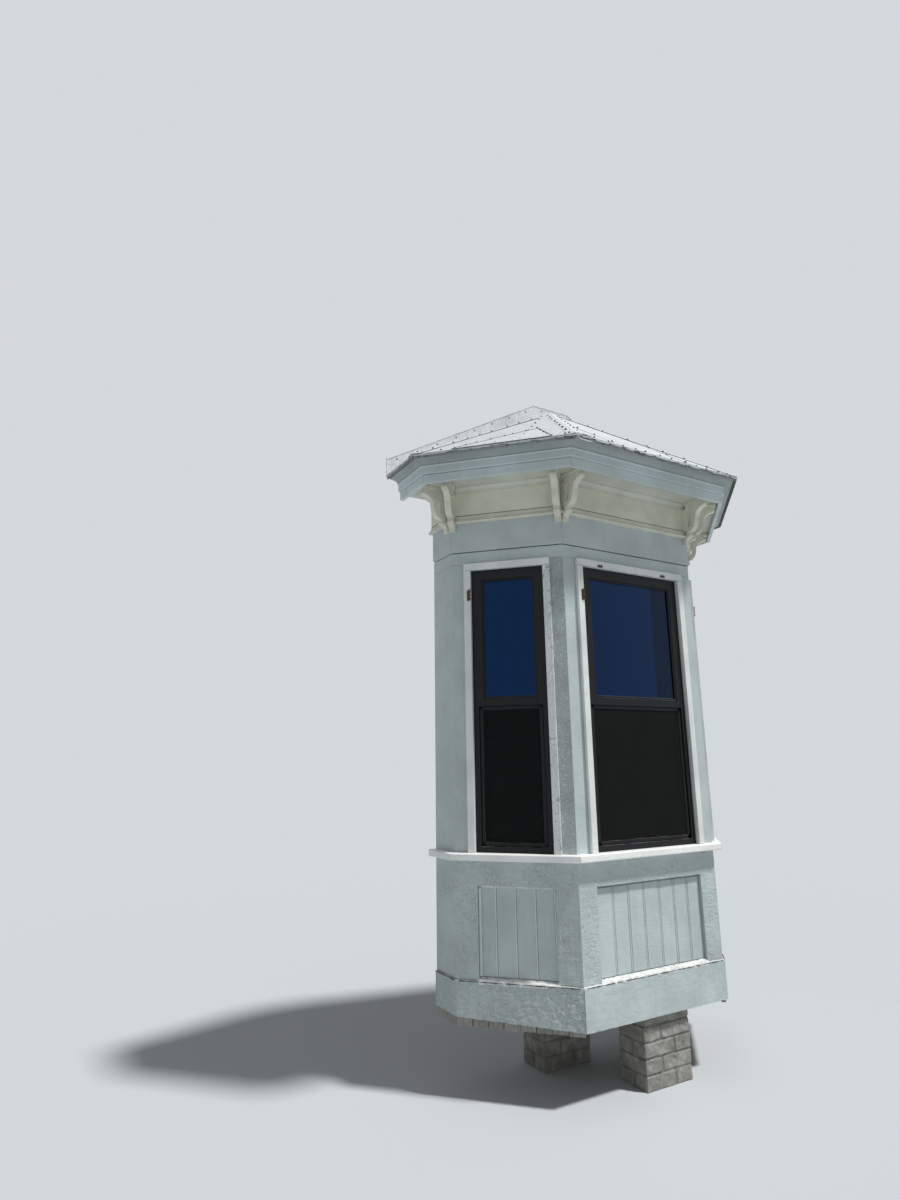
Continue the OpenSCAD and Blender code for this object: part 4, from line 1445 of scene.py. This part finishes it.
@dataclass
class WindowUnit:
    """One window: casing boards, black frame with its fixed upper light, sliding sash and insect screen.

    Attributes:
        side: left, front or right.
        face: the wall face that it stands in.
        hinge_heights: heights at which an old hinge is left on the left side of the casing.
        catches: places across the opening at which an old catch is left on the head of the casing.
        bead: width of the glazing beads.
        bead_out: how far they stand before the pane.
        screen_bar: width of the screen's bars.
        screen_t: thickness of the screen's frame.
    """

    side: str
    face: WallFace
    hinge_heights: tuple[float, ...] = ()
    catches: tuple[float, ...] = ()
    bead: float = 0.011
    bead_out: float = 0.009
    screen_bar: float = 0.02
    screen_t: float = 0.009

    def build(self) -> None:
        """Makes the unit's pieces."""
        self.casing()
        self.frame("window_frame", "upper_glass", "outer_frame")
        self.frame("lower_sash", "lower_glass", "sliding_sash")
        self.glass()
        self.screen()
        self.old_iron()

    def span(self, part: str) -> tuple[Vector, Vector]:
        """The corners of one of the window's CAD nodes in the face's own space."""
        return self.face.span(f"{self.side}_{part}")

    def old_iron(self) -> None:
        """Leaves the rusty remains of shutter hinges on the casing, and of catches on its head."""
        out = self.span("casing")[0].y
        inner_low, inner_high = self.span("window_frame")
        place = self.face.place
        rng = random.Random(self.side + " iron")
        form = Form()
        x = inner_low.x - 0.008
        for z in self.hinge_heights:
            foot, head = z - 0.034, z + 0.03
            plate = Form().block((x - 0.013, out - 0.003, foot), (x + 0.003, out + 0.001, head), 0.001, place)
            plate.score(UP, foot, head, 0.006)
            form.join(plate.roughen(0.0012, 0.012, rng.uniform(0.0, 9.0)))
            for drop, length in ((-0.03, 0.016), (-0.006, 0.014), (0.014, 0.02)):
                start = place @ Vector((x + 0.004, out - 0.004, z + drop))
                form.rod(start, start + UP * length, 0.0052, 10)
            for drop in (-0.022, 0.016):
                form.nail(place @ Vector((x - 0.007, out - 0.003, z + drop)), -self.face.inward, 0.0035)
        z = inner_high.z + 0.008
        for share in self.catches:
            middle = inner_low.x + (inner_high.x - inner_low.x) * share
            left, right = middle - 0.019, middle + 0.019
            form.block((left, out - 0.0025, z - 0.006), (right, out + 0.001, z + 0.009), 0.001, place)
            start = place @ Vector((middle - 0.015, out - 0.006, z + 0.001))
            form.rod(start, start + self.face.along * 0.022, 0.0032)
        if form.bm.faces:
            form.done(self.side + "_old_ironwork", (RUST,), Slot.BLACK)
        else:
            form.bm.free()

    def casing(self) -> None:
        """Nails two upright boards and a head board round the opening."""
        low, high = self.span("casing")
        inner_low, inner_high = self.span("window_frame")
        form = Form()
        place = self.face.place
        rng = random.Random(self.side + " casing")
        gap, ease, top = 0.0006, 0.003, inner_high.z
        for i, (start, end) in enumerate(((low.x, inner_low.x), (inner_high.x, high.x))):
            worn = 1 if self.side == "left" and i == 1 else 0
            form.block((start, low.y, low.z), (end, high.y, top - gap), ease, place, rng.random(), worn)
        form.block((low.x, low.y, top + gap), high, ease, place, rng.random())
        for start in ((low.x + inner_low.x) / 2, (high.x + inner_high.x) / 2):
            for i in range(6):
                height = low.z + 0.12 + i * (top - low.z - 0.2) / 5 + rng.uniform(-0.03, 0.03)
                point = place @ Vector((start + rng.uniform(-0.012, 0.012), low.y, height))
                form.nail(point, -self.face.inward, 0.0035)
        form.done(self.side + "_casing_boards", (TRIM_PAINT, WORN_TRIM_PAINT), Slot.CREAM,
                  (self.side + "_casing",))

    def frame(self, part: str, pane: str, name: str) -> None:
        """Makes the outer frame or the lower sash with eased edges and with glazing beads at its pane."""
        form = Form.from_node(f"{self.side}_{part}").ease(0.0022, 30.0)
        low, high = self.span(pane)
        self.rim(form, (low.x, low.y - self.bead_out, low.z), (high.x, low.y, high.z), self.bead, 0.003)
        if part == "lower_sash":
            top = self.span(part)[1]
            left, right = ((low.x + high.x) / 2 + side * 0.03 for side in (-1, 1))
            form.block((left, top.y - 0.004, top.z - 0.014), (right, top.y + 0.012, top.z + 0.006), 0.003,
                       self.face.place)
        form.done(f"{self.side}_{name}", (BLACK,), Slot.BLACK, (f"{self.side}_{part}",))

    def rim(self, form: Form, low: Triple, high: Triple, width: float, ease: float) -> None:
        """Adds four bars inside a box, at its left, right, head and foot."""
        (left, front, foot), (right, back, head) = low, high
        for start, end, bottom, top in ((left, left + width, foot, head), (right - width, right, foot, head),
                                        (left, right, head - width, head), (left, right, foot, foot + width)):
            form.block((start, front, bottom), (end, back, top), ease, self.face.place)

    def glass(self) -> None:
        """Dresses the two panes, whose shapes are right as they are."""
        for half, finish in (("upper", UPPER_GLASS), ("lower", LOWER_GLASS)):
            node = f"{self.side}_{half}_glass"
            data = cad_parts[node].data
            data.materials.clear()
            data.materials.append(finish.material())
            LOG.info("%s: dressed", node)

    def screen(self) -> None:
        """Hangs a framed insect screen before the lower sash."""
        low, high = self.span("lower_sash")
        front = self.span("window_frame")[0].y + 0.009
        left, right, foot, head = low.x + 0.002, high.x - 0.002, low.z + 0.002, high.z - 0.045
        form = Form()
        self.rim(form, (left, front, foot), (right, front + self.screen_t, head), self.screen_bar, 0.002)
        half = self.screen_bar / 2
        form.block((left + half, front + 0.004, foot + half), (right - half, front + 0.0046, head - half),
                   place=self.face.place, finish=1)
        form.done(self.side + "_insect_screen", (BLACK, SCREEN), Slot.BLACK)


@dataclass
class Eaves(OnPlan):
    """The frieze, its mouldings, the soffit, the fascia boards and crown, and the brackets.

    Attributes:
        fascia_h: height of each of the two fascia boards.
        gap: open joint between the fascia boards and the crown.
        mitre_gap: open joint at the corners.
        joint_up: height over the moulding of the dark line on the frieze, painted shadow of its joint.
        joint_h: height of that line itself.
        soffit_w: wall face to the outer edge of the soffit.
        inner_share: share of that width in which the inner board ends.
    """

    fascia_h: float = 0.052
    gap: float = 0.0022
    mitre_gap: float = 0.0008
    joint_up: float = 0.008
    joint_h: float = 0.0028
    soffit_w: float = 0.34
    inner_share: float = 0.55

    def build(self) -> None:
        """Makes the eaves from the lowest board up."""
        for node, width in (("frieze_boards", 0.0015), ("frieze_moulding", 0.0008)):
            form = self.plan.courses(node, self.mitre_gap, lambda board, k, w=width: board.ease(w, 50.0))
            if node == "frieze_moulding":
                self.open_joint(form)
            form.done(node + "_run", (FRIEZE_PAINT, JOINT_SHADOW_LINE), Slot.CREAM, (node,))
        self.soffit()
        self.cornice()
        for node in ("left_wall_bracket", "left_front_bracket", "right_front_bracket", "right_wall_bracket"):
            form = Form.from_node(node).ease(0.0028, 50.0)
            form.done(node + "_carved", (EAVES_PAINT,), Slot.CREAM, (node,))

    def open_joint(self, form: Form) -> None:
        """Lays a dark line on the frieze boards over their moulding: painted shadow of the joint there."""
        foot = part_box("frieze_moulding")[1].z + self.joint_up
        depth = (self.plan.faces[2].start.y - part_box("frieze_boards")[0].y) + 0.0011
        past = depth * 0.4
        for k, face in enumerate(self.plan.faces):
            start, end = (-past if k else 0.0), face.length + (past if k < 4 else 0.0)
            form.block((start, -depth, foot), (end, -0.01, foot + self.joint_h), 0.0, face.place, 0.3, 1)

    def soffit(self) -> None:
        """Lays the soffit in two boards along each face."""
        result = Form()
        rng = random.Random("soffit")
        for k, face in enumerate(self.plan.faces):
            middle = face.start + face.inward * (-self.soffit_w + self.inner_share * self.soffit_w)
            for side in (-1.0, 1.0):
                board = self.plan.part("soffit", k, self.mitre_gap, rng.random())
                board.keep(middle + face.inward * side * 0.0006, -face.inward * side)
                result.join(board.ease(0.0012, 50.0))
        result.done("soffit_boards", (SOFFIT_PAINT,), Slot.CREAM, ("soffit",))

    def cornice(self) -> None:
        """Builds up the cornice from its lower board, upper board and crown."""
        low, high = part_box("cornice")
        levels = (low.z - 0.01, low.z + self.fascia_h, low.z + 2 * self.fascia_h, high.z + 0.01)
        names = ("lower_fascia", "upper_fascia", "crown_moulding")
        finishes = (FASCIA_PAINT, FASCIA_PAINT, CROWN_SHADE_PAINT)
        for name, finish, bottom, top in zip(names, finishes, levels, levels[1:]):

            def cut(board: Form, k: int, foot: float = bottom, head: float = top) -> None:
                """Keeps one board's height and eases it."""
                board.keep(UP * (head - self.gap / 2), UP).keep(UP * (foot + self.gap / 2), -UP)
                board.ease(0.0022, 28.0)

            form = self.plan.courses("cornice", self.mitre_gap, cut)
            form.done(name, (finish,), Slot.BLUE, ("cornice",) if name == "lower_fascia" else ())


@dataclass(frozen=True)
class Slope:
    """One slope of the roof, as the plane of its sheets' upper side.

    Attributes:
        number: its number from left to right.
        edge: its eaves line.
        peak: the roof's peak, on the sheets.
        normal: the way out of the slope.
    """

    number: int
    edge: WallFace
    peak: Vector
    normal: Vector

    @property
    def rise(self) -> Vector:
        """The way up the slope."""
        return self.normal.cross(self.edge.along)

    @property
    def foot(self) -> Vector:
        """The place of the peak in the plan."""
        return Vector((self.peak.x, self.peak.y, 0.0))

    def over(self, place: Vector, lift: float = 0.0) -> Vector:
        """The point of the slope over a place of the plan, lifted squarely."""
        drop = self.normal.dot(place - self.peak) / self.normal.z
        return place - UP * drop + self.normal * lift

    def trim(self, form: Form, gap: float = 0.0) -> Form:
        """Cuts a form to the plan of the slope, between its two hips."""
        for corner, side in ((self.edge.start, 1.0), (self.edge.end, -1.0)):
            hip = corner - self.foot
            if abs(hip.y) > 0.01:
                across = UP.cross(hip).normalized() * side
                form.keep(self.foot + across * gap / 2, -across)
        return form

    def holds(self, place: Vector, margin: float = 0.015) -> bool:
        """Whether a place of the plan lies on the slope, a margin within its hips and eaves."""
        left = UP.cross(self.edge.start - self.foot).normalized().dot(place - self.foot)
        right = -UP.cross(self.edge.end - self.foot).normalized().dot(place - self.foot)
        return min(left, right, self.edge.inward.dot(place - self.edge.start)) > margin

    def darken_edges(self, form: Form) -> None:
        """Gives the cut edges of a sheet on the slope their own dark finish: painted shadow, partly rust."""
        form.bm.normal_update()
        form.refinish(1, lambda part: part.normal.dot(self.normal) < 0.6)


@dataclass
class MetalRoof(OnPlan):
    """The boarded hip roof: sheets, hip caps, a later patch, a ragged drip edge, nails and the wall flashing.

    Attributes:
        overhang: wall face to the eaves.
        thickness: the sheets with their seams.
        seams: where the upright seams of each slope lie along its eaves.
        lap: height of the step at a seam.
        step: size of the squares in which a sheet is bent.
        fold: height of the folded drip edge.
        board_w: width of the roof boards.
        board_gap: half of the gap between them.
        cap_w: width of a hip cap.
        nail_r: radius of a nail's washer.
        patch_at: the patch's three corners, along the eaves and inward from them.
        strip_w: width of the rusty strip that is rolled up at the torn corner.
        roll_r: radius of its roll.
        flap_w: width of the metal that is bent up beside it.
    """

    overhang: float = 0.34
    thickness: float = 0.004
    seams: tuple[tuple[float, ...], ...] = ((0.3,), (0.62,), (0.33, 0.94, 1.5), (0.3, 0.7), (0.27,))
    lap: float = 0.0016
    step: float = 0.03
    fold: float = 0.012
    board_w: float = 0.14
    board_gap: float = 0.001
    cap_w: float = 0.09
    nail_r: float = 0.0075
    patch_at: tuple[tuple[float, float], ...] = ((0.22, -0.02), (0.69, 0.4), (0.82, -0.02))
    strip_w: float = 0.045
    roll_r: float = 0.011
    flap_w: float = 0.05

    def build(self) -> None:
        """Makes the roof from the boards up."""
        slopes = self.slopes()
        self.deck(slopes)
        self.sheets(slopes)
        self.caps(slopes)
        self.patch(slopes[1])
        self.drip_edge(slopes)
        self.torn_corner(slopes[1], slopes[2])
        self.flashing()

    def slopes(self) -> list[Slope]:
        """Reads the five slopes from the roof metal."""
        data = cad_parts["roof_metal"].data
        peak = Vector((0.0, WALL_PLANE, max(vert.co.z for vert in data.vertices)))
        walls = self.plan.faces
        corners = []
        for k, corner in enumerate(self.plan.corners):
            before, after = walls[max(k - 1, 0)].inward, walls[min(k, 4)].inward
            corners.append(corner - (before + after) * (self.overhang / (1.0 + before.dot(after))))
        result = []
        for k, wall in enumerate(walls):
            faces = [face for face in data.polygons if face.normal.z > 0.3
                     and -face.normal.dot(wall.inward) > 0.9 * math.hypot(*face.normal.xy)]
            normal = max(faces, key=lambda face: face.area).normal.copy()
            result.append(Slope(k, WallFace(wall.name, corners[k], corners[k + 1]), peak, normal))
        return result

    def deck(self, slopes: list[Slope]) -> None:
        """Lays the roof boards level along each slope."""
        form = Form()
        rng = random.Random("deck")
        for slope in slopes:
            length = (slope.over(slope.edge.start) - slope.peak).dot(-slope.rise)
            top = slope.peak.dot(slope.rise)
            for i in range(round(length / self.board_w) + 1):
                board = slope.trim(Form.from_node("roof_boards", rng.random()), 0.001)
                board.keep(slope.rise * (top - i * self.board_w - self.board_gap), slope.rise)
                board.keep(slope.rise * (top - (i + 1) * self.board_w + self.board_gap), -slope.rise)
                if board.bm.faces:
                    # The boards' eaves edges take the dark edge paint: painted shade under the metal.
                    board.refinish(1, lambda part, out=slope.edge.inward: part.normal.dot(out) < -0.9)
                    form.join(board)
        form.done("roof_deck", (DECK_WOOD, DECK_EDGE_SHADE_PAINT), Slot.TIMBER, ("roof_boards",))

    def sheets(self, slopes: list[Slope]) -> None:
        """Lays each slope in sheets that lap at upright seams, a little buckled, with ragged eaves."""
        form = Form()
        for slope in slopes:
            along, start = slope.edge.along, slope.edge.left
            ends = (-0.5, *self.seams[slope.number], slope.edge.length + 0.5)
            for first, last in zip(ends, ends[1:]):
                sheet = slope.trim(Form.from_node("roof_metal"))
                sheet.keep(along * (start + last), along).keep(along * (start + first), -along)
                if sheet.bm.faces:
                    self.bend(sheet, slope, first, last)
                    form.join(sheet)
        for slope in slopes:
            edge = slope.edge
            first, last = (corner.lerp(slope.foot, 0.022) for corner in (edge.start, edge.end))
            self.nail_row(form, slope, first + edge.along * 0.04, last - edge.along * 0.04, 0.105)
            for seam in self.seams[slope.number]:
                foot = edge.start + edge.along * (seam + 0.012)
                self.nail_row(form, slope, foot + edge.inward * 0.06, foot + edge.inward * 1.4, 0.16)
        form.hold(*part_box("roof_metal"))
        form.done("roof_sheets", (SHEET_METAL, EDGE_METAL_SHADOW, NAIL_IRON), Slot.METAL, ("roof_metal",))

    def bend(self, sheet: Form, slope: Slope, first: float, last: float) -> None:
        """Buckles a sheet, sinks its right side under the next and frays its lower edge."""
        edge = slope.edge
        start = max(first, 0.0)
        width = max(0.2, min(last, edge.length) - start)

        def buckle(point: Vector) -> Vector:
            """Shift of one point."""
            share = min(1.0, max(0.0, (point.dot(edge.along) - edge.left - start) / width))
            dent = max(0.0, noise.noise(point / 0.06) - 0.25)
            sink = 0.0 if last > edge.length else self.lap * share
            sink += 0.0014 * wave(point / 0.21 + Vector((first * 9.0, 0.0, 0.0))) + 0.002 * dent
            bite = max(0.0, noise.fractal(point / 0.035, 0.7, 2.1, 3)) ** 2
            frayed = 0.006 * bite * near(point.dot(edge.inward) - edge.front, 0.012)
            return -slope.normal * sink + edge.inward * frayed

        slope.darken_edges(sheet.squares((edge.along, slope.rise), self.step).move(buckle))

    def nail_row(self, form: Form, slope: Slope, start: Vector, end: Vector, gap: float,
                 lift: float = 0.0) -> None:
        """Drives a row of nails between two places of the plan, where they fall on the slope."""
        length = (end - start).length
        rng = random.Random(round(length * 1000) + slope.number)
        count = max(1, round(length / gap))
        for i in range(count + 1):
            share = (i + rng.uniform(-0.18, 0.18)) / count
            place = start.lerp(end, min(1.0, max(0.0, share)))
            if slope.holds(place):
                radius = self.nail_r * rng.uniform(0.8, 1.1)
                form.nail(slope.over(place, lift - 0.001), slope.normal, radius, 2, 0.9)

    def caps(self, slopes: list[Slope]) -> None:
        """Bends the hip caps a little and nails them down both sides."""
        form = Form.from_node("hip_caps")
        low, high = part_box("hip_caps")
        form.score(UP, low.z, high.z, 0.02)
        corner = slopes[2].edge.start
        front_hip = corner - slopes[2].foot
        plain = UP.cross(front_hip).normalized()

        def settle(point: Vector) -> Vector:
            """Bends the cap, and presses its left side flat at the front left hip."""
            side = plain.dot(point - corner) + self.cap_w / 2
            flat = abs(side) < 0.008 and front_hip.normalized().dot(corner - point) < front_hip.length - 0.12
            return UP * (-0.0016 * wave(point / 0.07) - (0.0034 if flat else 0.0))

        form.move(settle).bm.normal_update()
        # Cap edges away from the front left hip take the dark edge metal: painted shadow lines.
        form.refinish(1, lambda part: part.normal.z < 0.45
                      and abs(plain.dot(part.calc_center_median() - corner)) > self.cap_w)
        for left, right in zip(slopes, slopes[1:]):
            hip = right.edge.start - right.foot
            across = UP.cross(hip).normalized() * (self.cap_w / 2 - 0.013)
            first, last = right.foot + hip.normalized() * 0.14, right.edge.start - hip.normalized() * 0.03
            for slope, side in ((right, 1.0), (left, -1.0)):
                self.nail_row(form, slope, first + across * side, last + across * side, 0.14, self.thickness)
        form.done("hip_cap_sheets", (CAP_METAL, EDGE_METAL_SHADOW, NAIL_IRON), Slot.METAL, ("hip_caps",))

    def patch(self, slope: Slope) -> None:
        """Lays the later three-cornered sheet at the foot of the left canted slope, nailed round its edge."""
        form = slope.trim(Form.from_node("roof_metal"))
        along, inward = slope.edge.along, slope.edge.inward
        first, top, last = (slope.edge.start + along * x + inward * y for x, y in self.patch_at)
        for start, end in ((first, top), (top, last)):
            form.keep(start, UP.cross(end - start).normalized())
        form.squares((along, slope.rise), self.step)
        form.move(lambda point: slope.normal * (self.thickness - 0.0016 * wave(point / 0.11)))
        slope.darken_edges(form)
        inner = along * 0.006 + inward * 0.02
        middle = (first + top + last) / 3
        for start, end, gap in ((first, top, 0.085), (top, last, 0.09), (last, first, 0.1)):
            self.nail_row(form, slope, start.lerp(middle, 0.08) + inner, end.lerp(middle, 0.08) + inner, gap,
                          self.thickness)
        # Two thin dark bars along the patch's upper edges: painted shadow of its lapped edge.
        foot = first + inward * 0.024 + along * 0.024
        for start, end, width in ((foot, top, 0.005), (top, last + inward * 0.024, 0.01)):
            ends = (slope.over(place, self.thickness) for place in (start, end))
            form.bar(*ends, 0.0016, width, finish=1)
        form.done("patch_sheet", (PATCH_METAL, EDGE_METAL_SHADOW, NAIL_IRON), Slot.METAL, ("roof_patch",))

    def drip_edge(self, slopes: list[Slope]) -> None:
        """Folds a ragged edge down in front of the roof boards."""
        form = Form()
        low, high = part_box("roof_metal")
        top = low.z + 0.002
        for slope in slopes:
            edge = slope.edge
            one = Form().block(
                (-0.02, 0.0006, top - self.fold), (edge.length + 0.02, 0.0018, top), place=edge.place)
            edge.score(one, 0.009).score(UP, top - self.fold, top, 0.004)

            def fray(point: Vector, inward: Vector = edge.inward) -> Vector:
                """Raises the lower edge here and there, and dents it inwards."""
                down = max(0.0, (top - point.z) / self.fold)
                bite = max(0.0, noise.fractal(point / 0.05, 0.6, 2.3, 4) + 0.2)
                return UP * (0.011 * bite * down) + inward * (0.003 * wave(point / 0.04) * down)

            form.join(slope.trim(one.move(fray), 0.0004))
        form.hold(Vector((low.x, low.y, 0.0)), high)
        form.done("drip_edge", (CAP_METAL,), Slot.METAL)

    def torn_corner(self, cant: Slope, front: Slope) -> None:
        """Tears the metal at the eaves' left front corner: a rusty curl, a lifted flap and a bent hook."""
        low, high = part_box("roof_metal")
        form = Form().join(self.curl(cant.edge, low.z + 0.001)).join(self.flap(front, low.y))
        edge = cant.edge
        base = edge.end + edge.inward * 0.012 - edge.along * 0.03
        bends = ((0.0, 0.002), (0.002, 0.016), (0.007, 0.024), (0.013, 0.021), (0.014, 0.014))
        hook = [base + UP * (low.z - drop) + edge.along * shift for shift, drop in bends]
        for start, end in zip(hook, hook[1:]):
            form.rod(start, end, 0.0013, 8, 0.4, 1)
        edge = front.edge
        strip = [edge.start + edge.along * shift + edge.inward * 0.007 + UP * (low.z - drop)
                 for shift, drop in ((0.012, 0.004), (0.045, 0.019), (0.085, 0.022), (0.12, 0.019))]
        form.bar(strip[0], strip[1], 0.009, 0.0016)
        form.rod(strip[1], strip[2], 0.004, 10)
        form.rod(strip[2], strip[3], 0.004, 10, 0.4, tip=0.0032)
        form.hold(Vector((low.x, low.y, 0.0)), high)
        form.done("torn_eaves_corner", (PATCH_METAL, DULL_RUST), Slot.METAL)

    def curl(self, edge: WallFace, top: float) -> Form:
        """Makes the rusty strip, which is rolled down and back under itself from the eaves line."""
        start, end = edge.length - 0.085, edge.length - 0.012
        form = Form().block((start, 0.003, -0.001), (end, self.strip_w, 0.0), 0.0, edge.place, 0.3, 1)
        edge.score(form.score(edge.inward, edge.front, edge.front + 0.05, 0.004), 0.012)

        def roll(point: Vector) -> Vector:
            """Shift of one point."""
            deep = point.dot(edge.inward) - edge.front
            turn = (self.strip_w - deep) / self.roll_r * (0.8 + 0.25 * noise.noise(point / 0.05))
            inward = 0.014 - self.roll_r * math.sin(turn)
            down = self.roll_r * (1.0 - math.cos(turn))
            target = point - edge.inward * (deep - inward)
            return Vector((target.x, target.y, top - down + point.z)) - point

        return form.move(roll)

    def flap(self, front: Slope, limit: float) -> Form:
        """Makes the metal beside the torn corner, which lies on the slope and is bent up at its loose end."""
        edge = front.edge
        form = Form().block((0.03, 0.002, -0.0005), (0.125, self.flap_w, 0.0005), 0.0, edge.place)
        form.score(edge.inward, edge.front, edge.front + self.flap_w, 0.006)
        form.score(edge.along, edge.left, edge.left + 0.13, 0.008)

        def lift(point: Vector) -> Vector:
            """Shift of one point."""
            loose = near(point.dot(edge.inward) - edge.front, self.flap_w) ** 2
            notch = 0.006 * max(0.0, noise.noise(point / 0.02)) * loose
            place = front.over(Vector((point.x, point.y, 0.0)), 0.0012 + 0.016 * loose * wave(point / 0.045))
            return Vector((place.x, max(place.y, limit), place.z + point.z)) + edge.inward * notch - point

        form.move(lift).bm.normal_update()
        return form.refinish(1, lambda part: part.normal.z < 0.3)

    def flashing(self) -> None:
        """Dresses the plate on the house wall with a folded lip, laps and nails."""
        node = "wall_flashing"
        low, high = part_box(node)
        form = Form.from_node(node).grid(AXES[0]).ease(0.0008, 50.0)
        spots = {(round(vert.co.x, 4), round(vert.co.z, 4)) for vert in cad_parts[node].data.vertices}
        tops = sorted({max((spot for spot in spots if abs(spot[0] - x) < 0.0005), key=lambda spot: spot[1])
                       for x, _ in spots if abs(x) > 0.99 * high.x or (x, round(high.z, 4)) in spots})
        front = low.y - 0.001
        lip = [Vector((x, front, z - 0.004)) for x, z in tops]
        for start, end in zip(lip, lip[1:]):
            form.bar(start, end, 0.007, 0.0035, 0.001)
            count = max(1, round((end - start).length / 0.17))
            for i in range(count):
                spot = start.lerp(end, (i + 0.5) / count) - Vector((0.0, -0.0005, 0.024))
                form.nail(spot, -AXES[1], self.nail_r * 0.8, 1)
        for x in (low.x + 0.002, high.x - 0.002):
            form.bar(Vector((x, front, low.z + 0.02)), Vector((x, front, low.z + 0.125)), 0.006, 0.003, 0.001)
        form.hold(Vector((low.x, -9.0, low.z)), high)
        form.done("wall_flashing_sheet", (FLASHING_METAL, NAIL_IRON), Slot.METAL, (node,))


@dataclass
class RoomSide:
    """The ceiling and the boards that close the roof space at the house wall.

    Attributes:
        ceiling_w: width of a ceiling board.
        closing_w: width of a closing board.
    """

    ceiling_w: float = 0.09
    closing_w: float = 0.17

    def build(self) -> None:
        """Makes the ceiling and the closing boards."""
        ceiling = Form.boards("ceiling", AXES[1], self.ceiling_w)
        ceiling.done("ceiling_boards", (ROOM_PAINT,), Slot.CREAM, ("ceiling",))
        header = Form.boards("wall_header", UP, self.closing_w, 0.003, 0.0025)
        header.done("closing_boards", (LIGHTENED_CLOSING_BOARDS,), Slot.TIMBER, ("wall_header",))


@dataclass
class Studio:
    """The pale floor, the soft lights and the camera.

    Attributes:
        floor_r: radius of the floor.
        sun_way: the way from the object to the main light.
        sun_power: strength of the main light.
        sun_spread: its width in degrees.
        sky_power: strength of the light from all round.
        eye: where the camera stands.
        angles: the camera's yaw, pitch and roll, in degrees.
        focal: its focal length, as a share of the picture's height.
    """

    floor_r: float = 40.0
    sun_way: Triple = (0.5, -0.62, 1.5)
    sun_power: float = 3.4
    sun_spread: float = 5.0
    sky_power: float = 0.3
    eye: Triple = (-3.085, -3.305, 1.69)
    angles: Triple = (30.0, 12.99, -0.69)
    focal: float = 712.8 / 1200.0

    def build(self) -> None:
        """Sets up everything that isn't part of the object."""
        self.floor()
        self.lights()
        self.camera()
        bpy.context.scene.view_settings.view_transform = "Standard"

    def floor(self) -> None:
        """Lays a round floor."""
        form = Form()
        bmesh.ops.create_circle(form.bm, cap_ends=True, segments=96, radius=self.floor_r)
        mesh = form.to_mesh()
        mesh.name = "studio_floor"
        mesh.materials.append(StageFloor("studio_floor").material())
        floor = make_object("studio_floor", mesh)

    def lights(self) -> None:
        """Adds a wide sun lamp and an even sky that the camera sees as the plain background."""
        lamp = bpy.data.lights.new("key_light", "SUN")
        lamp.energy = self.sun_power
        lamp.angle = math.radians(self.sun_spread)
        lamp.color = (1.0, 0.985, 0.96)
        key = make_object("key_light", lamp)
        key.rotation_euler = Vector(self.sun_way).to_track_quat("Z", "Y").to_euler()
        world = bpy.data.worlds.new("studio")
        world.use_nodes = True
        graph = Graph(world.node_tree)
        sky = graph.add("Background", 0, {"Color": (0.95, 0.98, 1.0), "Strength": self.sky_power})
        plain = graph.add("Background", 0, {"Color": BACKGROUND, "Strength": 1.0})
        seen = graph.seen("Camera", "Transmission", "Glossy")
        graph.end("World", graph.add("MixShader", 0, {0: seen, 1: sky, 2: plain}))
        bpy.context.scene.world = world

    def camera(self) -> None:
        """Sets the camera where the photograph was taken from."""
        yaw, pitch, roll = (math.radians(angle) for angle in self.angles)
        forward = Vector((math.sin(yaw) * math.cos(pitch), math.cos(yaw) * math.cos(pitch), math.sin(pitch)))
        level = Vector((math.cos(yaw), -math.sin(yaw), 0.0))
        upward = level.cross(forward)
        right = level * math.cos(roll) + upward * math.sin(roll)
        up = upward * math.cos(roll) - level * math.sin(roll)
        data = bpy.data.cameras.new("camera")
        data.sensor_width = 36.0
        data.lens = self.focal * data.sensor_width
        data.clip_end = 200.0
        camera = make_object("camera", data)
        turn = Matrix((right, up, -forward)).transposed().to_4x4()
        camera.matrix_world = Matrix.Translation(self.eye) @ turn
        bpy.context.scene.camera = camera


def main() -> None:
    """Builds the bay from the ground up, and the studio round it."""
    logging.basicConfig(level=logging.INFO, format="%(name)s: %(message)s")
    plan = BayPlan.from_frame()
    windows = plan.window_faces
    assemblies = (
        BrickPier("front_pier", collar=True),
        BrickPier("rear_pier"),
        FloorTimbers(plan),
        BoardedWalls(plan),
        WallCourses(plan),
        WindowUnit("left", windows["left"], (2.667,)),
        WindowUnit("front", windows["front"], (2.645,), (0.17, 0.83)),
        WindowUnit("right", windows["right"], (2.655,)),
        Eaves(plan),
        MetalRoof(plan),
        RoomSide(),
        Studio(),
    )
    for assembly in assemblies:
        LOG.info("building %s", type(assembly).__name__)
        assembly.build()


if __name__ == "__main__":
    main()
